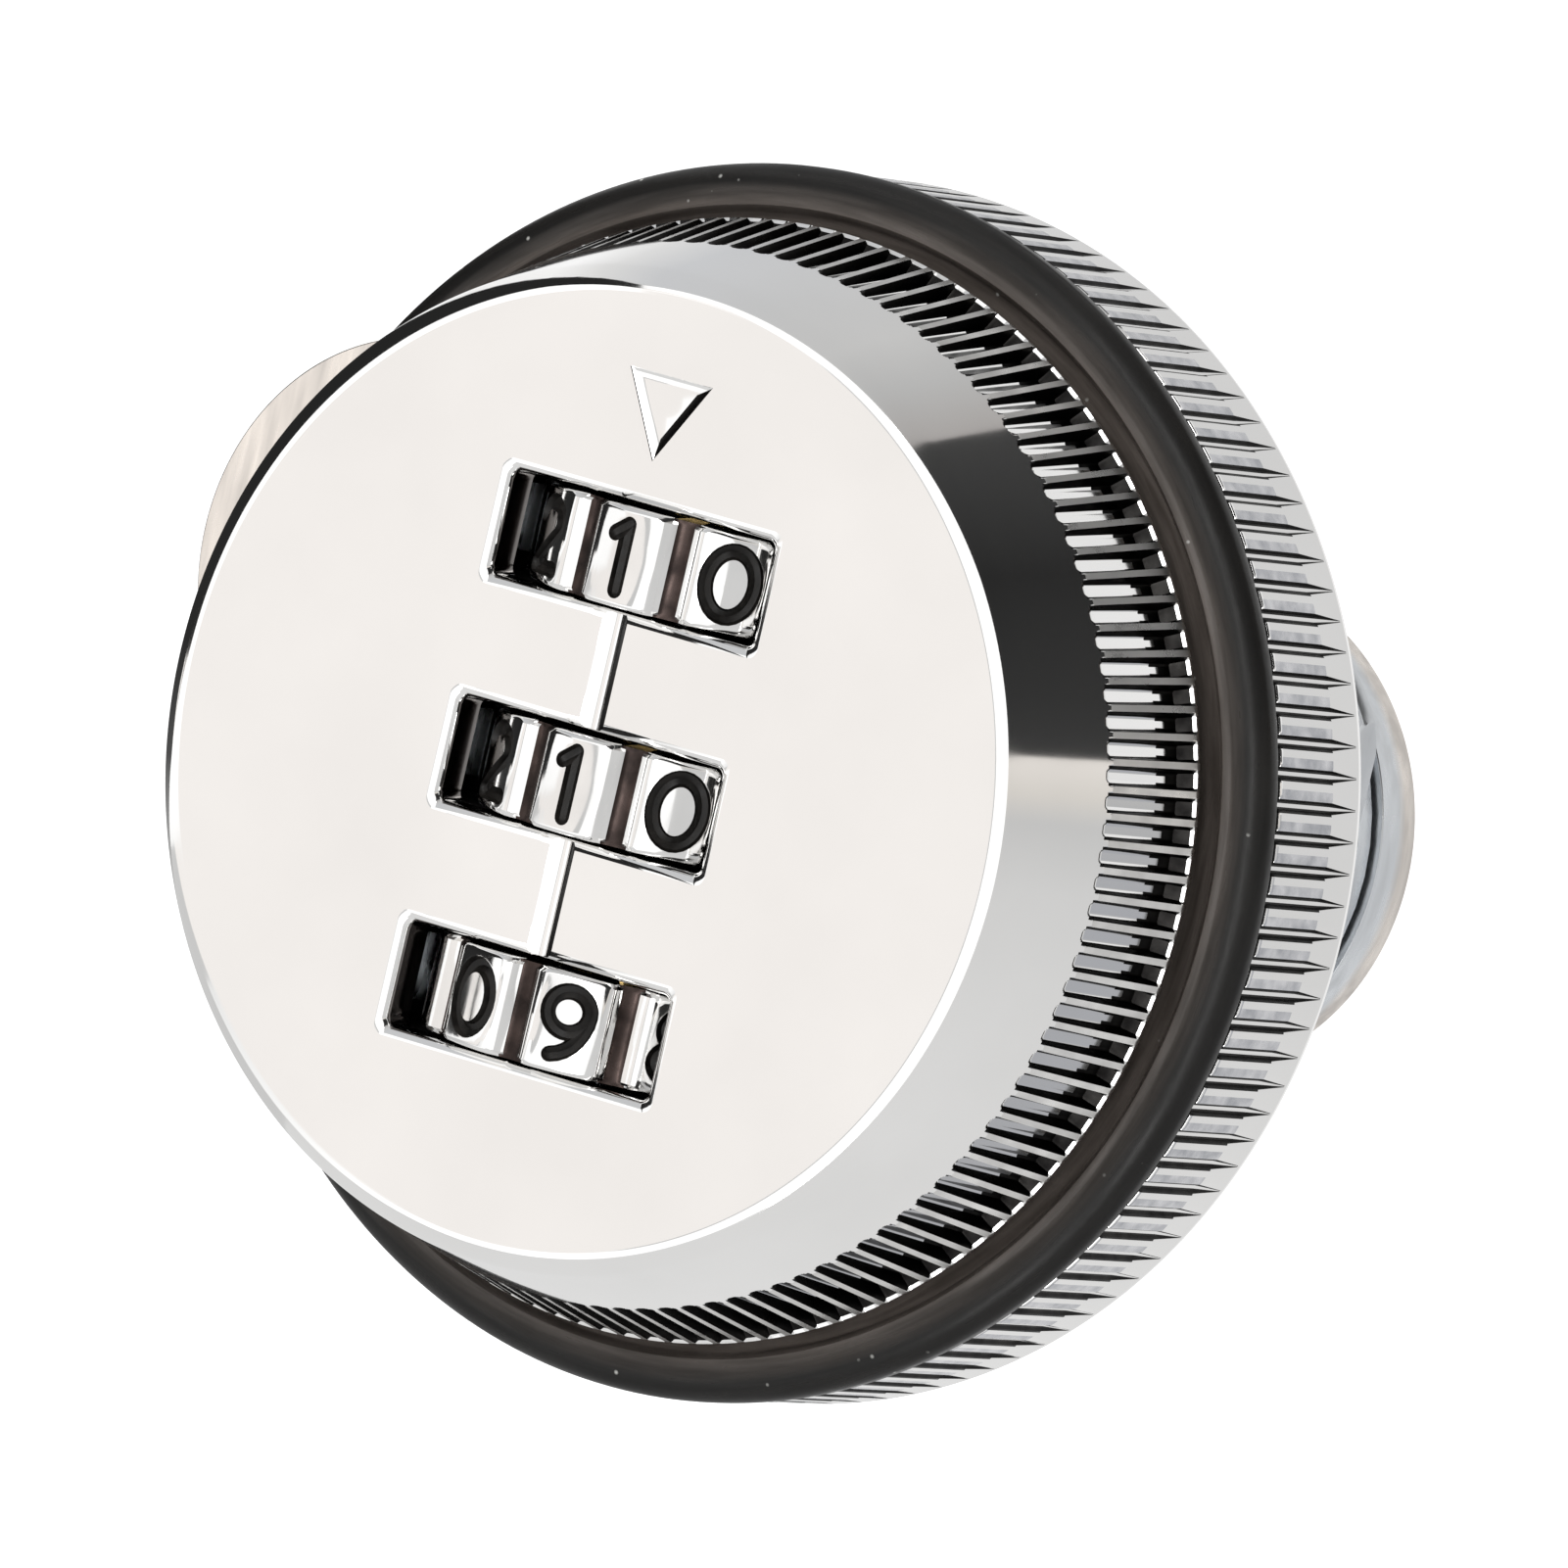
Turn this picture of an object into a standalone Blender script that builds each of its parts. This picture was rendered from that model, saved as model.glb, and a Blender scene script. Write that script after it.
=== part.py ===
"""Keyless combination cam lock for a locker door, with three number wheels.

Origin: on the lock's axis, in the plane where the trim ring meets the door.
The face looks along -Y, +Z is up on the dial and +Y runs into the locker.
The numbers are set and the lock is open: the slide's teeth lie in the gates.
"""
from math import acos, ceil, cos, hypot, pi, radians, sin, sqrt

import bmesh
import bpy

MM = 0.001

# Clearances
SEAT_GAP = 0.2 * MM       # between a piece and the piece that it is fixed to
RUN_GAP = 0.3 * MM        # between two pieces that move past each other

# Knob
KNOB_FLARE = 2.1 * MM     # how far the cone widens from the face to the rear
KNOB_LENGTH = 8.4 * MM
KNOB_WALL = 2.8 * MM      # from the edge of the face to the cavity
FACE_PLATE = 1.4 * MM
RIM_ROUND = 0.35 * MM
FLUTE_START = 4.05 * MM   # behind the face
FLUTE_RUN_IN = 0.45 * MM  # length of the sloping start of a flute
KNOB_FLUTE_SINK = 0.2 * MM  # of a flute's floor under the cone at its start
KNOB_FLUTE_PITCH = 0.905 * MM
KNOB_REAR_CHAMFER = 0.35 * MM
CREST_SHARE = 0.42        # of a flute's pitch that is crest

# Number wheels
WHEEL_RADIUS = 5.9 * MM
WHEEL_WIDTH = 3.0 * MM
WHEEL_PROUD = 0.75 * MM   # how far a wheel stands out of the face
WHEEL_WEB = 2.61 * MM     # of the carrier, between one wheel's slots and the next's
STACK_DROP = 0.5 * MM     # the middle wheel lies this far below the axis
WHEEL_CHAMFER = 0.3 * MM
PAD_COUNT = 10            # one pad for each number
PAD_GROOVE_WIDTH = 0.85 * MM
PAD_GROOVE_DEPTH = 0.45 * MM
WHEEL_TURNS = {"top": radians(1.5), "middle": radians(1.5), "bottom": radians(18.7)}

# Marks and windows in the face
WINDOW_END_GAP = 0.52 * MM
WINDOW_SIDE_GAP = 0.22 * MM
WINDOW_BEVEL = 0.35 * MM
WINDOW_CORNER = 0.3 * MM
INDEX_WIDTH = 1.3 * MM
INDEX_DEPTH = 0.4 * MM
INDEX_SLOPE = 0.35 * MM   # how far each wall of a mark leans in
TRIANGLE_WIDTH = 3.1 * MM
TRIANGLE_HEIGHT = 2.6 * MM
TRIANGLE_TIP = 10.1 * MM  # height of its lower corner
TRIANGLE_DEPTH = 0.45 * MM

# Wheel axle, clutch sleeves and detent springs
AXLE_RADIUS = 1.0 * MM
AXLE_HOLD = 1.5 * MM      # length of each end that the carrier holds
SLEEVE_WALL = 0.9 * MM
SLEEVE_FLANGE_WIDTH = 0.9 * MM
TOOTH_WIDTH = 1.1 * MM
TOOTH_CLEARANCE = 0.45 * MM  # of a drawn tooth from the flange
SPRING_LEAF = 0.2 * MM
SPRING_BOW = 0.65 * MM
SPRING_INSET = 0.4 * MM   # from each side of the wheel

# Locking slide
SLIDE_THICKNESS = 0.9 * MM
SLIDE_ARM = 0.8 * MM
SLIDE_SPINE = 2.0 * MM
BOLT_WIDTH = 5.0 * MM

# Carrier screws
SCREW_RADIUS = 0.7 * MM
SCREW_HEAD = 1.0 * MM
SCREW_HEAD_LENGTH = 1.0 * MM
SCREW_BITE = 0.6 * MM     # how far the tip stands in the face plate
SCREW_WALL = 0.25 * MM    # of the carrier beside a screw's hole
SCREW_RIM = 0.4 * MM      # from a screw's head to the carrier's rim

# Spindle
SPINDLE_RIM = 1.5 * MM    # from the flange's edge to the carrier's rim
SPINDLE_FLANGE_THICKNESS = 0.75 * MM
SQUARE = 6.0 * MM
SQUARE_SHOULDER = 0.36 * MM  # of the round shaft beyond the square's corners
STUD_STEP = 0.5 * MM      # from a side of the square down to the stud
STUD_END = 0.7 * MM       # the stud shows this much behind its nut
TONGUE_LENGTH = 8.0 * MM
TONGUE_WALL = 0.35 * MM   # of the web beside a tongue
TONGUE_DEPTH = 1.9 * MM

# Barrel
CUP_CLEARANCE = 0.6 * MM
CUP_WALL = 2.8 * MM
CUP_FLOOR = 1.0 * MM
BARREL_RADIUS = 9.5 * MM
FLAT_DEPTH = 1.5 * MM
BARREL_LENGTH = 19.4 * MM  # behind the door's front
BARREL_CHAMFER = 0.5 * MM
LUG_WIDTH = radians(16)
LUG_WALL = 1.4 * MM       # from the barrel's bore to the lug
LUG_INSET = 0.8 * MM      # from the lug to the barrel's outside
KNOB_TURN = radians(90)

# Gasket and trim ring
GASKET_LIP = 0.1 * MM     # beyond the trim ring
GASKET_THICKNESS = 1.25 * MM
GASKET_STEP = 0.3 * MM    # the ridge above the flat inner part
GASKET_RIDGE_SLOPE = 0.15 * MM
GASKET_BEAD = 1.05 * MM   # width of the round outer part
GASKET_BEAD_RISE = 0.69 * MM
TRIM_SKIRT = 3.2 * MM
TRIM_FLUTE_PITCH = 1.012 * MM
TRIM_FLUTE_DEPTH = 0.5 * MM
TRIM_ROUND = 0.9 * MM
TRIM_WALL = 0.75 * MM
KEY_OVERLAP = 0.6 * MM    # of a flat's key into the ring

# Mounting nut, stop washer, cam and its fastening
DOOR_GAP = 5.0 * MM       # room for the door between trim ring and nut
NUT_WALL = 2.5 * MM       # from the barrel to the middle of a flat
NUT_THICKNESS = 4.0 * MM
STOP_HOOK = 1.7 * MM      # height of the stop washer's notch
STOP_PLAY = radians(4)    # of the lug in the notch, at each end
STOP_WASHER_THICKNESS = 0.8 * MM
CAM_RADIUS = 8.3 * MM     # of both round ends
CAM_REACH = 31.0 * MM     # from the axis to the centre of the tip
CAM_THICKNESS = 2.2 * MM
CAM_EDGE = 0.3 * MM
LOCK_WASHER_WIDTH = 2.3 * MM
LOCK_WASHER_THICKNESS = 0.6 * MM
LOCK_WASHER_SPLIT = 0.8 * MM
CAM_NUT_WALL = 1.5 * MM   # from the stud to the middle of a flat
CAM_NUT_THICKNESS = 2.8 * MM

# Facets
MERGE = 0.0001 * MM
ROUND = 48
SMALL_ROUND = 20

# Depths behind the face, from the front of the lock to its rear
WHEEL_DEPTH = WHEEL_RADIUS - WHEEL_PROUD
SLIDE_FRONT = WHEEL_DEPTH + WHEEL_RADIUS + RUN_GAP
SLIDE_REAR = SLIDE_FRONT + SLIDE_THICKNESS
FLANGE_FRONT = SLIDE_REAR + RUN_GAP
CARRIER_FRONT = FACE_PLATE + SEAT_GAP
CARRIER_REAR = FLANGE_FRONT - SEAT_GAP
FLANGE_REAR = FLANGE_FRONT + SPINDLE_FLANGE_THICKNESS
CUP_BOTTOM = FLANGE_REAR + RUN_GAP
CUP_REAR = CUP_BOTTOM + CUP_FLOOR
DOOR = CUP_REAR + SEAT_GAP + TRIM_WALL
GASKET_FRONT = KNOB_LENGTH + RUN_GAP
GASKET_REAR = GASKET_FRONT + GASKET_THICKNESS
TRIM_FRONT = GASKET_REAR + SEAT_GAP
NUT_FRONT = DOOR + DOOR_GAP
BARREL_END = DOOR + BARREL_LENGTH
STOP_FRONT = BARREL_END + RUN_GAP
STOP_REAR = STOP_FRONT + STOP_WASHER_THICKNESS
CAM_FRONT = STOP_REAR + SEAT_GAP
CAM_REAR = CAM_FRONT + CAM_THICKNESS
LOCK_WASHER_FRONT = CAM_REAR + SEAT_GAP
CAM_NUT_FRONT = LOCK_WASHER_FRONT + LOCK_WASHER_THICKNESS + SEAT_GAP
STUD_REAR = CAM_NUT_FRONT + CAM_NUT_THICKNESS + STUD_END

# Axle, sleeves, wheels and slide, from the axle outwards
AXLE_BORE = AXLE_RADIUS + SEAT_GAP
SLEEVE_RADIUS = AXLE_BORE + SLEEVE_WALL
WHEEL_BORE = SLEEVE_RADIUS + RUN_GAP
SLEEVE_FLANGE = WHEEL_DEPTH - FACE_PLATE - RUN_GAP
GATE_FLOOR = SLEEVE_RADIUS + SEAT_GAP
TOOTH_TIP = GATE_FLOOR + RUN_GAP
SLIDE_TRAVEL = SLEEVE_FLANGE - TOOTH_TIP + TOOTH_CLEARANCE
SPRING_LENGTH = WHEEL_RADIUS - RUN_GAP
SPRING_WIDTH = WHEEL_WIDTH - 2 * SPRING_INSET
SPRING_SIDE = WHEEL_RADIUS + RUN_GAP + SPRING_BOW + SPRING_LEAF + SEAT_GAP
ARM_INNER = WHEEL_RADIUS + 2 * RUN_GAP
ARM_REACH = ARM_INNER + SLIDE_ARM + SLIDE_TRAVEL
SLIDE_SIDE = ARM_INNER + SLIDE_SPINE + SLIDE_TRAVEL + RUN_GAP

# Heights in the stack of wheels
SLOT_HALF_WIDTH = WHEEL_WIDTH / 2 + RUN_GAP
SLEEVE_FLANGE_LOW = WHEEL_WIDTH / 2 + RUN_GAP
SLEEVE_FLANGE_HIGH = SLEEVE_FLANGE_LOW + SLEEVE_FLANGE_WIDTH
WHEEL_PITCH = SLOT_HALF_WIDTH + WHEEL_WEB + RUN_GAP + SLEEVE_FLANGE_HIGH
TONGUE_WIDTH = WHEEL_WEB - 2 * (TONGUE_WALL + SEAT_GAP)
STACK_TOP = WHEEL_PITCH - STACK_DROP + SLEEVE_FLANGE_HIGH

# The drawn slide just clears the cavity, and the knob lies round that
CAVITY_RADIUS = hypot(ARM_REACH, STACK_TOP) + RUN_GAP
FACE_RADIUS = CAVITY_RADIUS + KNOB_WALL
CARRIER_RADIUS = CAVITY_RADIUS - SEAT_GAP
SCREW_CIRCLE = CARRIER_RADIUS - SCREW_HEAD - SCREW_RIM
SPINDLE_FLANGE = CARRIER_RADIUS - SPINDLE_RIM
CUP_BORE = CARRIER_RADIUS + CUP_CLEARANCE
CUP_RADIUS = CUP_BORE + CUP_WALL
TRIM_BORE = CUP_RADIUS + SEAT_GAP
TRIM_RADIUS = TRIM_BORE + TRIM_SKIRT
GASKET_RADIUS = TRIM_RADIUS + GASKET_LIP
WINDOW_HEIGHT = WHEEL_WIDTH + 2 * WINDOW_SIDE_GAP
WHEEL_HALF_CHORD = sqrt(WHEEL_RADIUS ** 2 - (WHEEL_DEPTH - FACE_PLATE) ** 2)
WINDOW_WIDTH = 2 * (WHEEL_HALF_CHORD + WINDOW_END_GAP)

# Spindle, barrel, nut and washers, from the square outwards
STUD_RADIUS = SQUARE / 2 - STUD_STEP
SPINDLE_RADIUS = SQUARE / sqrt(2) + SQUARE_SHOULDER
LUG_INNER = SPINDLE_RADIUS + RUN_GAP + LUG_WALL
LUG_OUTER = BARREL_RADIUS - LUG_INSET
STOP_WASHER_RADIUS = LUG_INNER + STOP_HOOK
LOCK_WASHER_RADIUS = STUD_RADIUS + SEAT_GAP + LOCK_WASHER_WIDTH
FLAT_SIDE = BARREL_RADIUS - FLAT_DEPTH
FLAT_HALF_HEIGHT = sqrt(BARREL_RADIUS ** 2 - FLAT_SIDE ** 2)
NUT_ACROSS_FLATS = 2 * (BARREL_RADIUS + NUT_WALL)
CAM_NUT_ACROSS_FLATS = 2 * (STUD_RADIUS + CAM_NUT_WALL)

WHEEL_HEIGHTS = {
    "top": WHEEL_PITCH - STACK_DROP,
    "middle": -STACK_DROP,
    "bottom": -WHEEL_PITCH - STACK_DROP,
}


# Helpers

def at(depth):
    """The world Y of a depth behind the face."""
    return depth - DOOR


def material(name, colour, roughness, metallic):
    made = bpy.data.materials.new(name)
    made.use_nodes = True
    shader = made.node_tree.nodes["Principled BSDF"]
    shader.inputs["Base Color"].default_value = (*colour, 1.0)
    shader.inputs["Roughness"].default_value = roughness
    shader.inputs["Metallic"].default_value = metallic
    made.diffuse_color = (*colour, 1.0)
    return made


def to_object(name, bm, surface=None, sharp=radians(35)):
    """Turns a bmesh into an object with outward faces and smooth round parts."""
    bmesh.ops.remove_doubles(bm, verts=bm.verts, dist=MERGE)
    bmesh.ops.recalc_face_normals(bm, faces=bm.faces)
    mesh = bpy.data.meshes.new(name)
    bm.to_mesh(mesh)
    bm.free()
    mesh.shade_smooth()
    mesh.set_sharp_from_angle(angle=sharp)
    made = bpy.data.objects.new(name, mesh)
    bpy.context.scene.collection.objects.link(made)
    if surface:
        mesh.materials.append(surface)
    return made


def circle(radius, y, count):
    """Points of a circle about the lock's axis."""
    turns = [2 * pi * i / count for i in range(count)]
    return [(radius * cos(turn), y, radius * sin(turn)) for turn in turns]


def bridge(bm, first, second):
    """Joins two rings; the finer one has a whole number of points to each coarse one."""
    coarse, fine = sorted((first, second), key=len)
    share = len(fine) // len(coarse)
    for i, here in enumerate(coarse):
        after = coarse[(i + 1) % len(coarse)]
        fan = [fine[(i * share + j) % len(fine)] for j in range(share + 1)]
        if share == 1:
            bm.faces.new((here, after, fan[1], fan[0]))
            continue
        for one, two in zip(fan, fan[1:]):
            bm.faces.new((here, one, two))
        bm.faces.new((here, fan[-1], after))


def lofted(name, rings, surface=None, closed=False):
    """A solid through rings of points: capped at both ends, or closed into a loop."""
    bm = bmesh.new()
    made = [[bm.verts.new(point) for point in ring] for ring in rings]
    for first, second in zip(made, made[1:]):
        bridge(bm, first, second)
    if closed:
        bridge(bm, made[-1], made[0])
    else:
        bm.faces.new(made[0])
        bm.faces.new(made[-1])
    return to_object(name, bm, surface)


def turned(name, outline, surface=None, steps=ROUND, hollow=True):
    """Spins an outline of (radius, depth) points about the lock's axis."""
    bm = bmesh.new()
    points = [bm.verts.new((radius, at(depth), 0)) for radius, depth in outline]
    edges = [bm.edges.new(pair) for pair in zip(points, points[1:])]
    if hollow:
        edges.append(bm.edges.new((points[-1], points[0])))
    bmesh.ops.spin(bm, geom=points + edges, cent=(0, 0, 0), axis=(0, 1, 0),
                   angle=2 * pi, steps=steps, use_merge=True)
    return to_object(name, bm, surface)


def prism(name, outline, front, rear, surface=None):
    """Extrudes an outline of (x, z) points from one depth to another."""
    rings = [[(x, at(depth), z) for x, z in outline] for depth in (front, rear)]
    return lofted(name, rings, surface)


def box_outline(left, right, low, high):
    return [(left, low), (right, low), (right, high), (left, high)]


def box(name, across, depths, heights, surface=None):
    """A block from its (left, right), (front, rear) and (low, high)."""
    return prism(name, box_outline(*across, *heights), *depths, surface)


def hexagon(across_flats):
    """Corners of a hexagon with flats to the left and right."""
    corner = across_flats / sqrt(3)
    turns = [radians(30 + 60 * i) for i in range(6)]
    return [(corner * cos(turn), corner * sin(turn)) for turn in turns]


def rounded_box_outline(width, height, corner, steps=3):
    """A rectangle about the origin with round corners."""
    points = []
    for turn, right, up in ((0, 1, 1), (90, -1, 1), (180, -1, -1), (270, 1, -1)):
        for i in range(steps + 1):
            angle = radians(turn + 90 * i / steps)
            x = right * (width / 2 - corner) + corner * cos(angle)
            z = up * (height / 2 - corner) + corner * sin(angle)
            points.append((x, z))
    return points


def pin(name, radius, length, steps=SMALL_ROUND, surface=None):
    """A round pin about its own Z axis, centred on its origin."""
    bm = bmesh.new()
    bmesh.ops.create_cone(bm, cap_ends=True, segments=steps, radius1=radius,
                          radius2=radius, depth=length)
    return to_object(name, bm, surface)


def combine(target, tool, operation):
    """Cuts a tool from a piece, or joins it on; the tool stays as a hidden guide."""
    tool.hide_render = True
    tool.display_type = 'WIRE'
    step = target.modifiers.new(f"{operation.title()} {tool.name}", 'BOOLEAN')
    step.operation = operation
    step.solver = 'EXACT'
    step.object = tool


def cut(target, *tools):
    for tool in tools:
        combine(target, tool, 'DIFFERENCE')


def join(target, *tools):
    for tool in tools:
        combine(target, tool, 'UNION')


def flute_count(radius, pitch):
    return round(2 * pi * radius / pitch)


def fluted(crest, floor, depth, count):
    """A ring of a fluted band: a crest of two points, then one point in the flute."""
    points = []
    for i in range(count):
        for share, radius in ((-CREST_SHARE / 2, crest), (CREST_SHARE / 2, crest),
                              (0.5, min(crest, floor))):
            turn = 2 * pi * (i + share) / count
            points.append((radius * cos(turn), at(depth), radius * sin(turn)))
    return points


# Knob

def cone_radius(depth):
    return FACE_RADIUS + KNOB_FLARE * (depth - RIM_ROUND) / (KNOB_LENGTH - RIM_ROUND)


def knob_rings():
    """The knob from its face over the rim, cone and flutes into the cavity."""
    count = flute_count(cone_radius(KNOB_LENGTH), KNOB_FLUTE_PITCH)
    start = cone_radius(FLUTE_START)
    floor = start - KNOB_FLUTE_SINK
    chamfer_start = KNOB_LENGTH - KNOB_REAR_CHAMFER
    rings = []
    rings.append(circle(FACE_RADIUS - RIM_ROUND, at(0), count))
    rings.append(circle(FACE_RADIUS, at(RIM_ROUND), count))
    run_in = FLUTE_START + FLUTE_RUN_IN
    rings.append(fluted(start, start, FLUTE_START, count))
    rings.append(fluted(cone_radius(run_in), floor, run_in, count))
    rings.append(fluted(cone_radius(chamfer_start), floor, chamfer_start, count))
    rear_crest = cone_radius(chamfer_start) - KNOB_REAR_CHAMFER
    rings.append(fluted(rear_crest, floor, KNOB_LENGTH, count))
    rings.append(circle(CAVITY_RADIUS, at(KNOB_LENGTH), count))
    rings.append(circle(CAVITY_RADIUS, at(FACE_PLATE), count))
    return rings


def window_cutter(which):
    """A round-cornered hole through the face plate with a bevelled mouth."""
    height = WHEEL_HEIGHTS[which]
    rings = []
    for depth in (-WINDOW_BEVEL, WINDOW_BEVEL, FACE_PLATE + WINDOW_BEVEL):
        grow = 2 * max(0, WINDOW_BEVEL - depth)
        outline = rounded_box_outline(WINDOW_WIDTH + grow, WINDOW_HEIGHT + grow,
                                      WINDOW_CORNER + grow / 2)
        rings.append([(x, at(depth), z + height) for x, z in outline])
    return lofted(f"{which}_window_cutter", rings)


def index_cutter(low, high):
    """The engraved line that joins two windows, with leaning walls."""
    reach = WINDOW_HEIGHT / 2 + WINDOW_BEVEL / 2
    bottom = WHEEL_HEIGHTS[low] + reach
    top = WHEEL_HEIGHTS[high] - reach
    rings = []
    for depth in (-INDEX_DEPTH, INDEX_DEPTH):
        half = INDEX_WIDTH / 2 - INDEX_SLOPE * depth / INDEX_DEPTH
        outline = box_outline(-half, half, bottom, top)
        rings.append([(x, at(depth), z) for x, z in outline])
    return lofted(f"{low}_index_cutter", rings)


def triangle_cutter():
    """The engraved pointer above the windows: a flat floor and leaning walls."""
    middle = TRIANGLE_TIP + TRIANGLE_HEIGHT * 2 / 3
    rings = []
    for depth in (-TRIANGLE_DEPTH, TRIANGLE_DEPTH):
        size = 1 - 2 * INDEX_SLOPE / TRIANGLE_HEIGHT * depth / TRIANGLE_DEPTH
        half = size * TRIANGLE_WIDTH / 2
        top = middle + size * TRIANGLE_HEIGHT / 3
        tip = middle - size * TRIANGLE_HEIGHT * 2 / 3
        rings.append([(-half, at(depth), top), (half, at(depth), top), (0, at(depth), tip)])
    return lofted("triangle_cutter", rings)


def knob_shell(chrome):
    shell = lofted("knob_shell", knob_rings(), chrome)
    cut(shell, *(window_cutter(which) for which in WHEEL_HEIGHTS))
    cut(shell, index_cutter("middle", "top"), index_cutter("bottom", "middle"))
    cut(shell, triangle_cutter())
    tip = FACE_PLATE - SCREW_BITE
    for number, (x, z) in enumerate(screw_places()):
        cut(shell, peg(f"screw_pocket_{number}", x, z, SCREW_RADIUS + SEAT_GAP,
                       tip - SEAT_GAP, FACE_PLATE + SEAT_GAP))
    return shell


# Carrier and what it holds

def screw_places():
    """One screw at the upper left beside the springs, one at the lower right."""
    room = SCREW_HEAD + SEAT_GAP + SCREW_WALL
    left = -SPRING_SIDE - room
    low = slide_channel_low() - room
    return [(left, sqrt(SCREW_CIRCLE ** 2 - left ** 2)),
            (sqrt(SCREW_CIRCLE ** 2 - low ** 2), low)]


def peg(name, x, z, radius, front, rear, surface=None):
    """A round peg along the lock's axis at one place."""
    turns = [2 * pi * i / SMALL_ROUND for i in range(SMALL_ROUND)]
    outline = [(x + radius * cos(turn), z + radius * sin(turn)) for turn in turns]
    return prism(name, outline, front, rear, surface)


def wheel_carrier(zinc):
    """The block behind the face that holds the wheels, their springs and the slide."""
    carrier = turned("wheel_carrier", [(0, CARRIER_FRONT), (CARRIER_RADIUS, CARRIER_FRONT),
                                       (CARRIER_RADIUS, CARRIER_REAR), (0, CARRIER_REAR)],
                     zinc, hollow=False)
    depths = (CARRIER_FRONT - RUN_GAP, SLIDE_FRONT - RUN_GAP / 4)
    for which, height in WHEEL_HEIGHTS.items():
        cut(carrier, box(f"{which}_wheel_slot", (-SPRING_SIDE, WHEEL_RADIUS + RUN_GAP), depths,
                         (height - SLOT_HALF_WIDTH, height + SLOT_HALF_WIDTH)))
        sides = (-SLEEVE_FLANGE - RUN_GAP, ARM_REACH + RUN_GAP)
        cut(carrier, box(f"{which}_sleeve_slot", sides, depths,
                         (height + WHEEL_WIDTH / 2, height + SLEEVE_FLANGE_HIGH + RUN_GAP)))
    cut(carrier, slide_channel())
    bolt_half = BOLT_WIDTH / 2 + RUN_GAP
    cut(carrier, box("bolt_channel", (ARM_INNER, CARRIER_RADIUS + RUN_GAP),
                     (SLIDE_FRONT - RUN_GAP, CARRIER_REAR + RUN_GAP), (-bolt_half, bolt_half)))
    cut(carrier, axle_hole())
    for number, (x, z) in enumerate(screw_places()):
        cut(carrier, peg(f"screw_hole_{number}", x, z, SCREW_RADIUS + SEAT_GAP,
                         CARRIER_FRONT - RUN_GAP, CARRIER_REAR + RUN_GAP))
        cut(carrier, peg(f"screw_sink_{number}", x, z, SCREW_HEAD + SEAT_GAP,
                         screw_head_front() - SEAT_GAP, CARRIER_REAR + RUN_GAP))
    for name, low in tongue_places():
        cut(carrier, box(f"{name}_recess",
                         (-TONGUE_LENGTH / 2 - SEAT_GAP, TONGUE_LENGTH / 2 + SEAT_GAP),
                         (FLANGE_FRONT - TONGUE_DEPTH - SEAT_GAP, CARRIER_REAR + RUN_GAP),
                         (low - SEAT_GAP, low + TONGUE_WIDTH + SEAT_GAP)))
    return carrier


def slide_channel_low():
    return WHEEL_HEIGHTS["bottom"] + SLEEVE_FLANGE_LOW - 2 * RUN_GAP


def slide_channel():
    """The rear channel in which the slide's spine moves."""
    return box("slide_channel", (ARM_INNER - RUN_GAP, SLIDE_SIDE),
               (SLIDE_FRONT - RUN_GAP, CARRIER_REAR + RUN_GAP),
               (slide_channel_low(), STACK_TOP + RUN_GAP))


def axle_ends():
    """Height of the axle's lower and upper end."""
    low = WHEEL_HEIGHTS["bottom"] - SLOT_HALF_WIDTH - AXLE_HOLD
    return low, STACK_TOP + RUN_GAP + AXLE_HOLD


def upright(name, radius, low, high, surface=None, x=0):
    """A round pin along Z at the depth of the wheels."""
    made = pin(name, radius, high - low, surface=surface)
    made.location = (x, at(WHEEL_DEPTH), (low + high) / 2)
    return made


def axle_hole():
    """A hole from the top of the carrier down to just below the axle."""
    low = axle_ends()[0] - SEAT_GAP
    return upright("axle_hole", AXLE_BORE, low, CARRIER_RADIUS + RUN_GAP)


def wheel_axle(steel):
    return upright("wheel_axle", AXLE_RADIUS, *axle_ends(), steel)


def number_wheel(which, chrome):
    """A wheel with ten raised pads; the numbers sit on the pads."""
    pad_turn = 2 * pi / PAD_COUNT
    groove = PAD_GROOVE_WIDTH / WHEEL_RADIUS / 2
    edge = pad_turn / 2 - groove
    shares = [(-edge, True), (0, True), (edge, True),
              (edge + groove / 2, False), (edge + 3 * groove / 2, False)]

    def ring(outer, floor, z):
        points = []
        for i in range(PAD_COUNT):
            for share, raised in shares:
                turn = i * pad_turn + share - pi / 2
                radius = outer if raised else floor
                points.append((radius * cos(turn), radius * sin(turn), z))
        return points

    half = WHEEL_WIDTH / 2
    floor = WHEEL_RADIUS - PAD_GROOVE_DEPTH
    slim = WHEEL_RADIUS - WHEEL_CHAMFER
    rings = [ring(WHEEL_BORE, WHEEL_BORE, -half), ring(slim, floor, -half),
             ring(WHEEL_RADIUS, floor, WHEEL_CHAMFER - half),
             ring(WHEEL_RADIUS, floor, half - WHEEL_CHAMFER),
             ring(slim, floor, half), ring(WHEEL_BORE, WHEEL_BORE, half)]
    wheel = lofted(f"{which}_wheel", rings, chrome, closed=True)
    pivot = bpy.data.objects.new(f"{which}_wheel_pivot", None)
    pivot.location = (0, at(WHEEL_DEPTH), WHEEL_HEIGHTS[which])
    bpy.context.scene.collection.objects.link(pivot)
    wheel.parent = pivot
    wheel.rotation_euler = (0, 0, WHEEL_TURNS[which])
    return wheel


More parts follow.
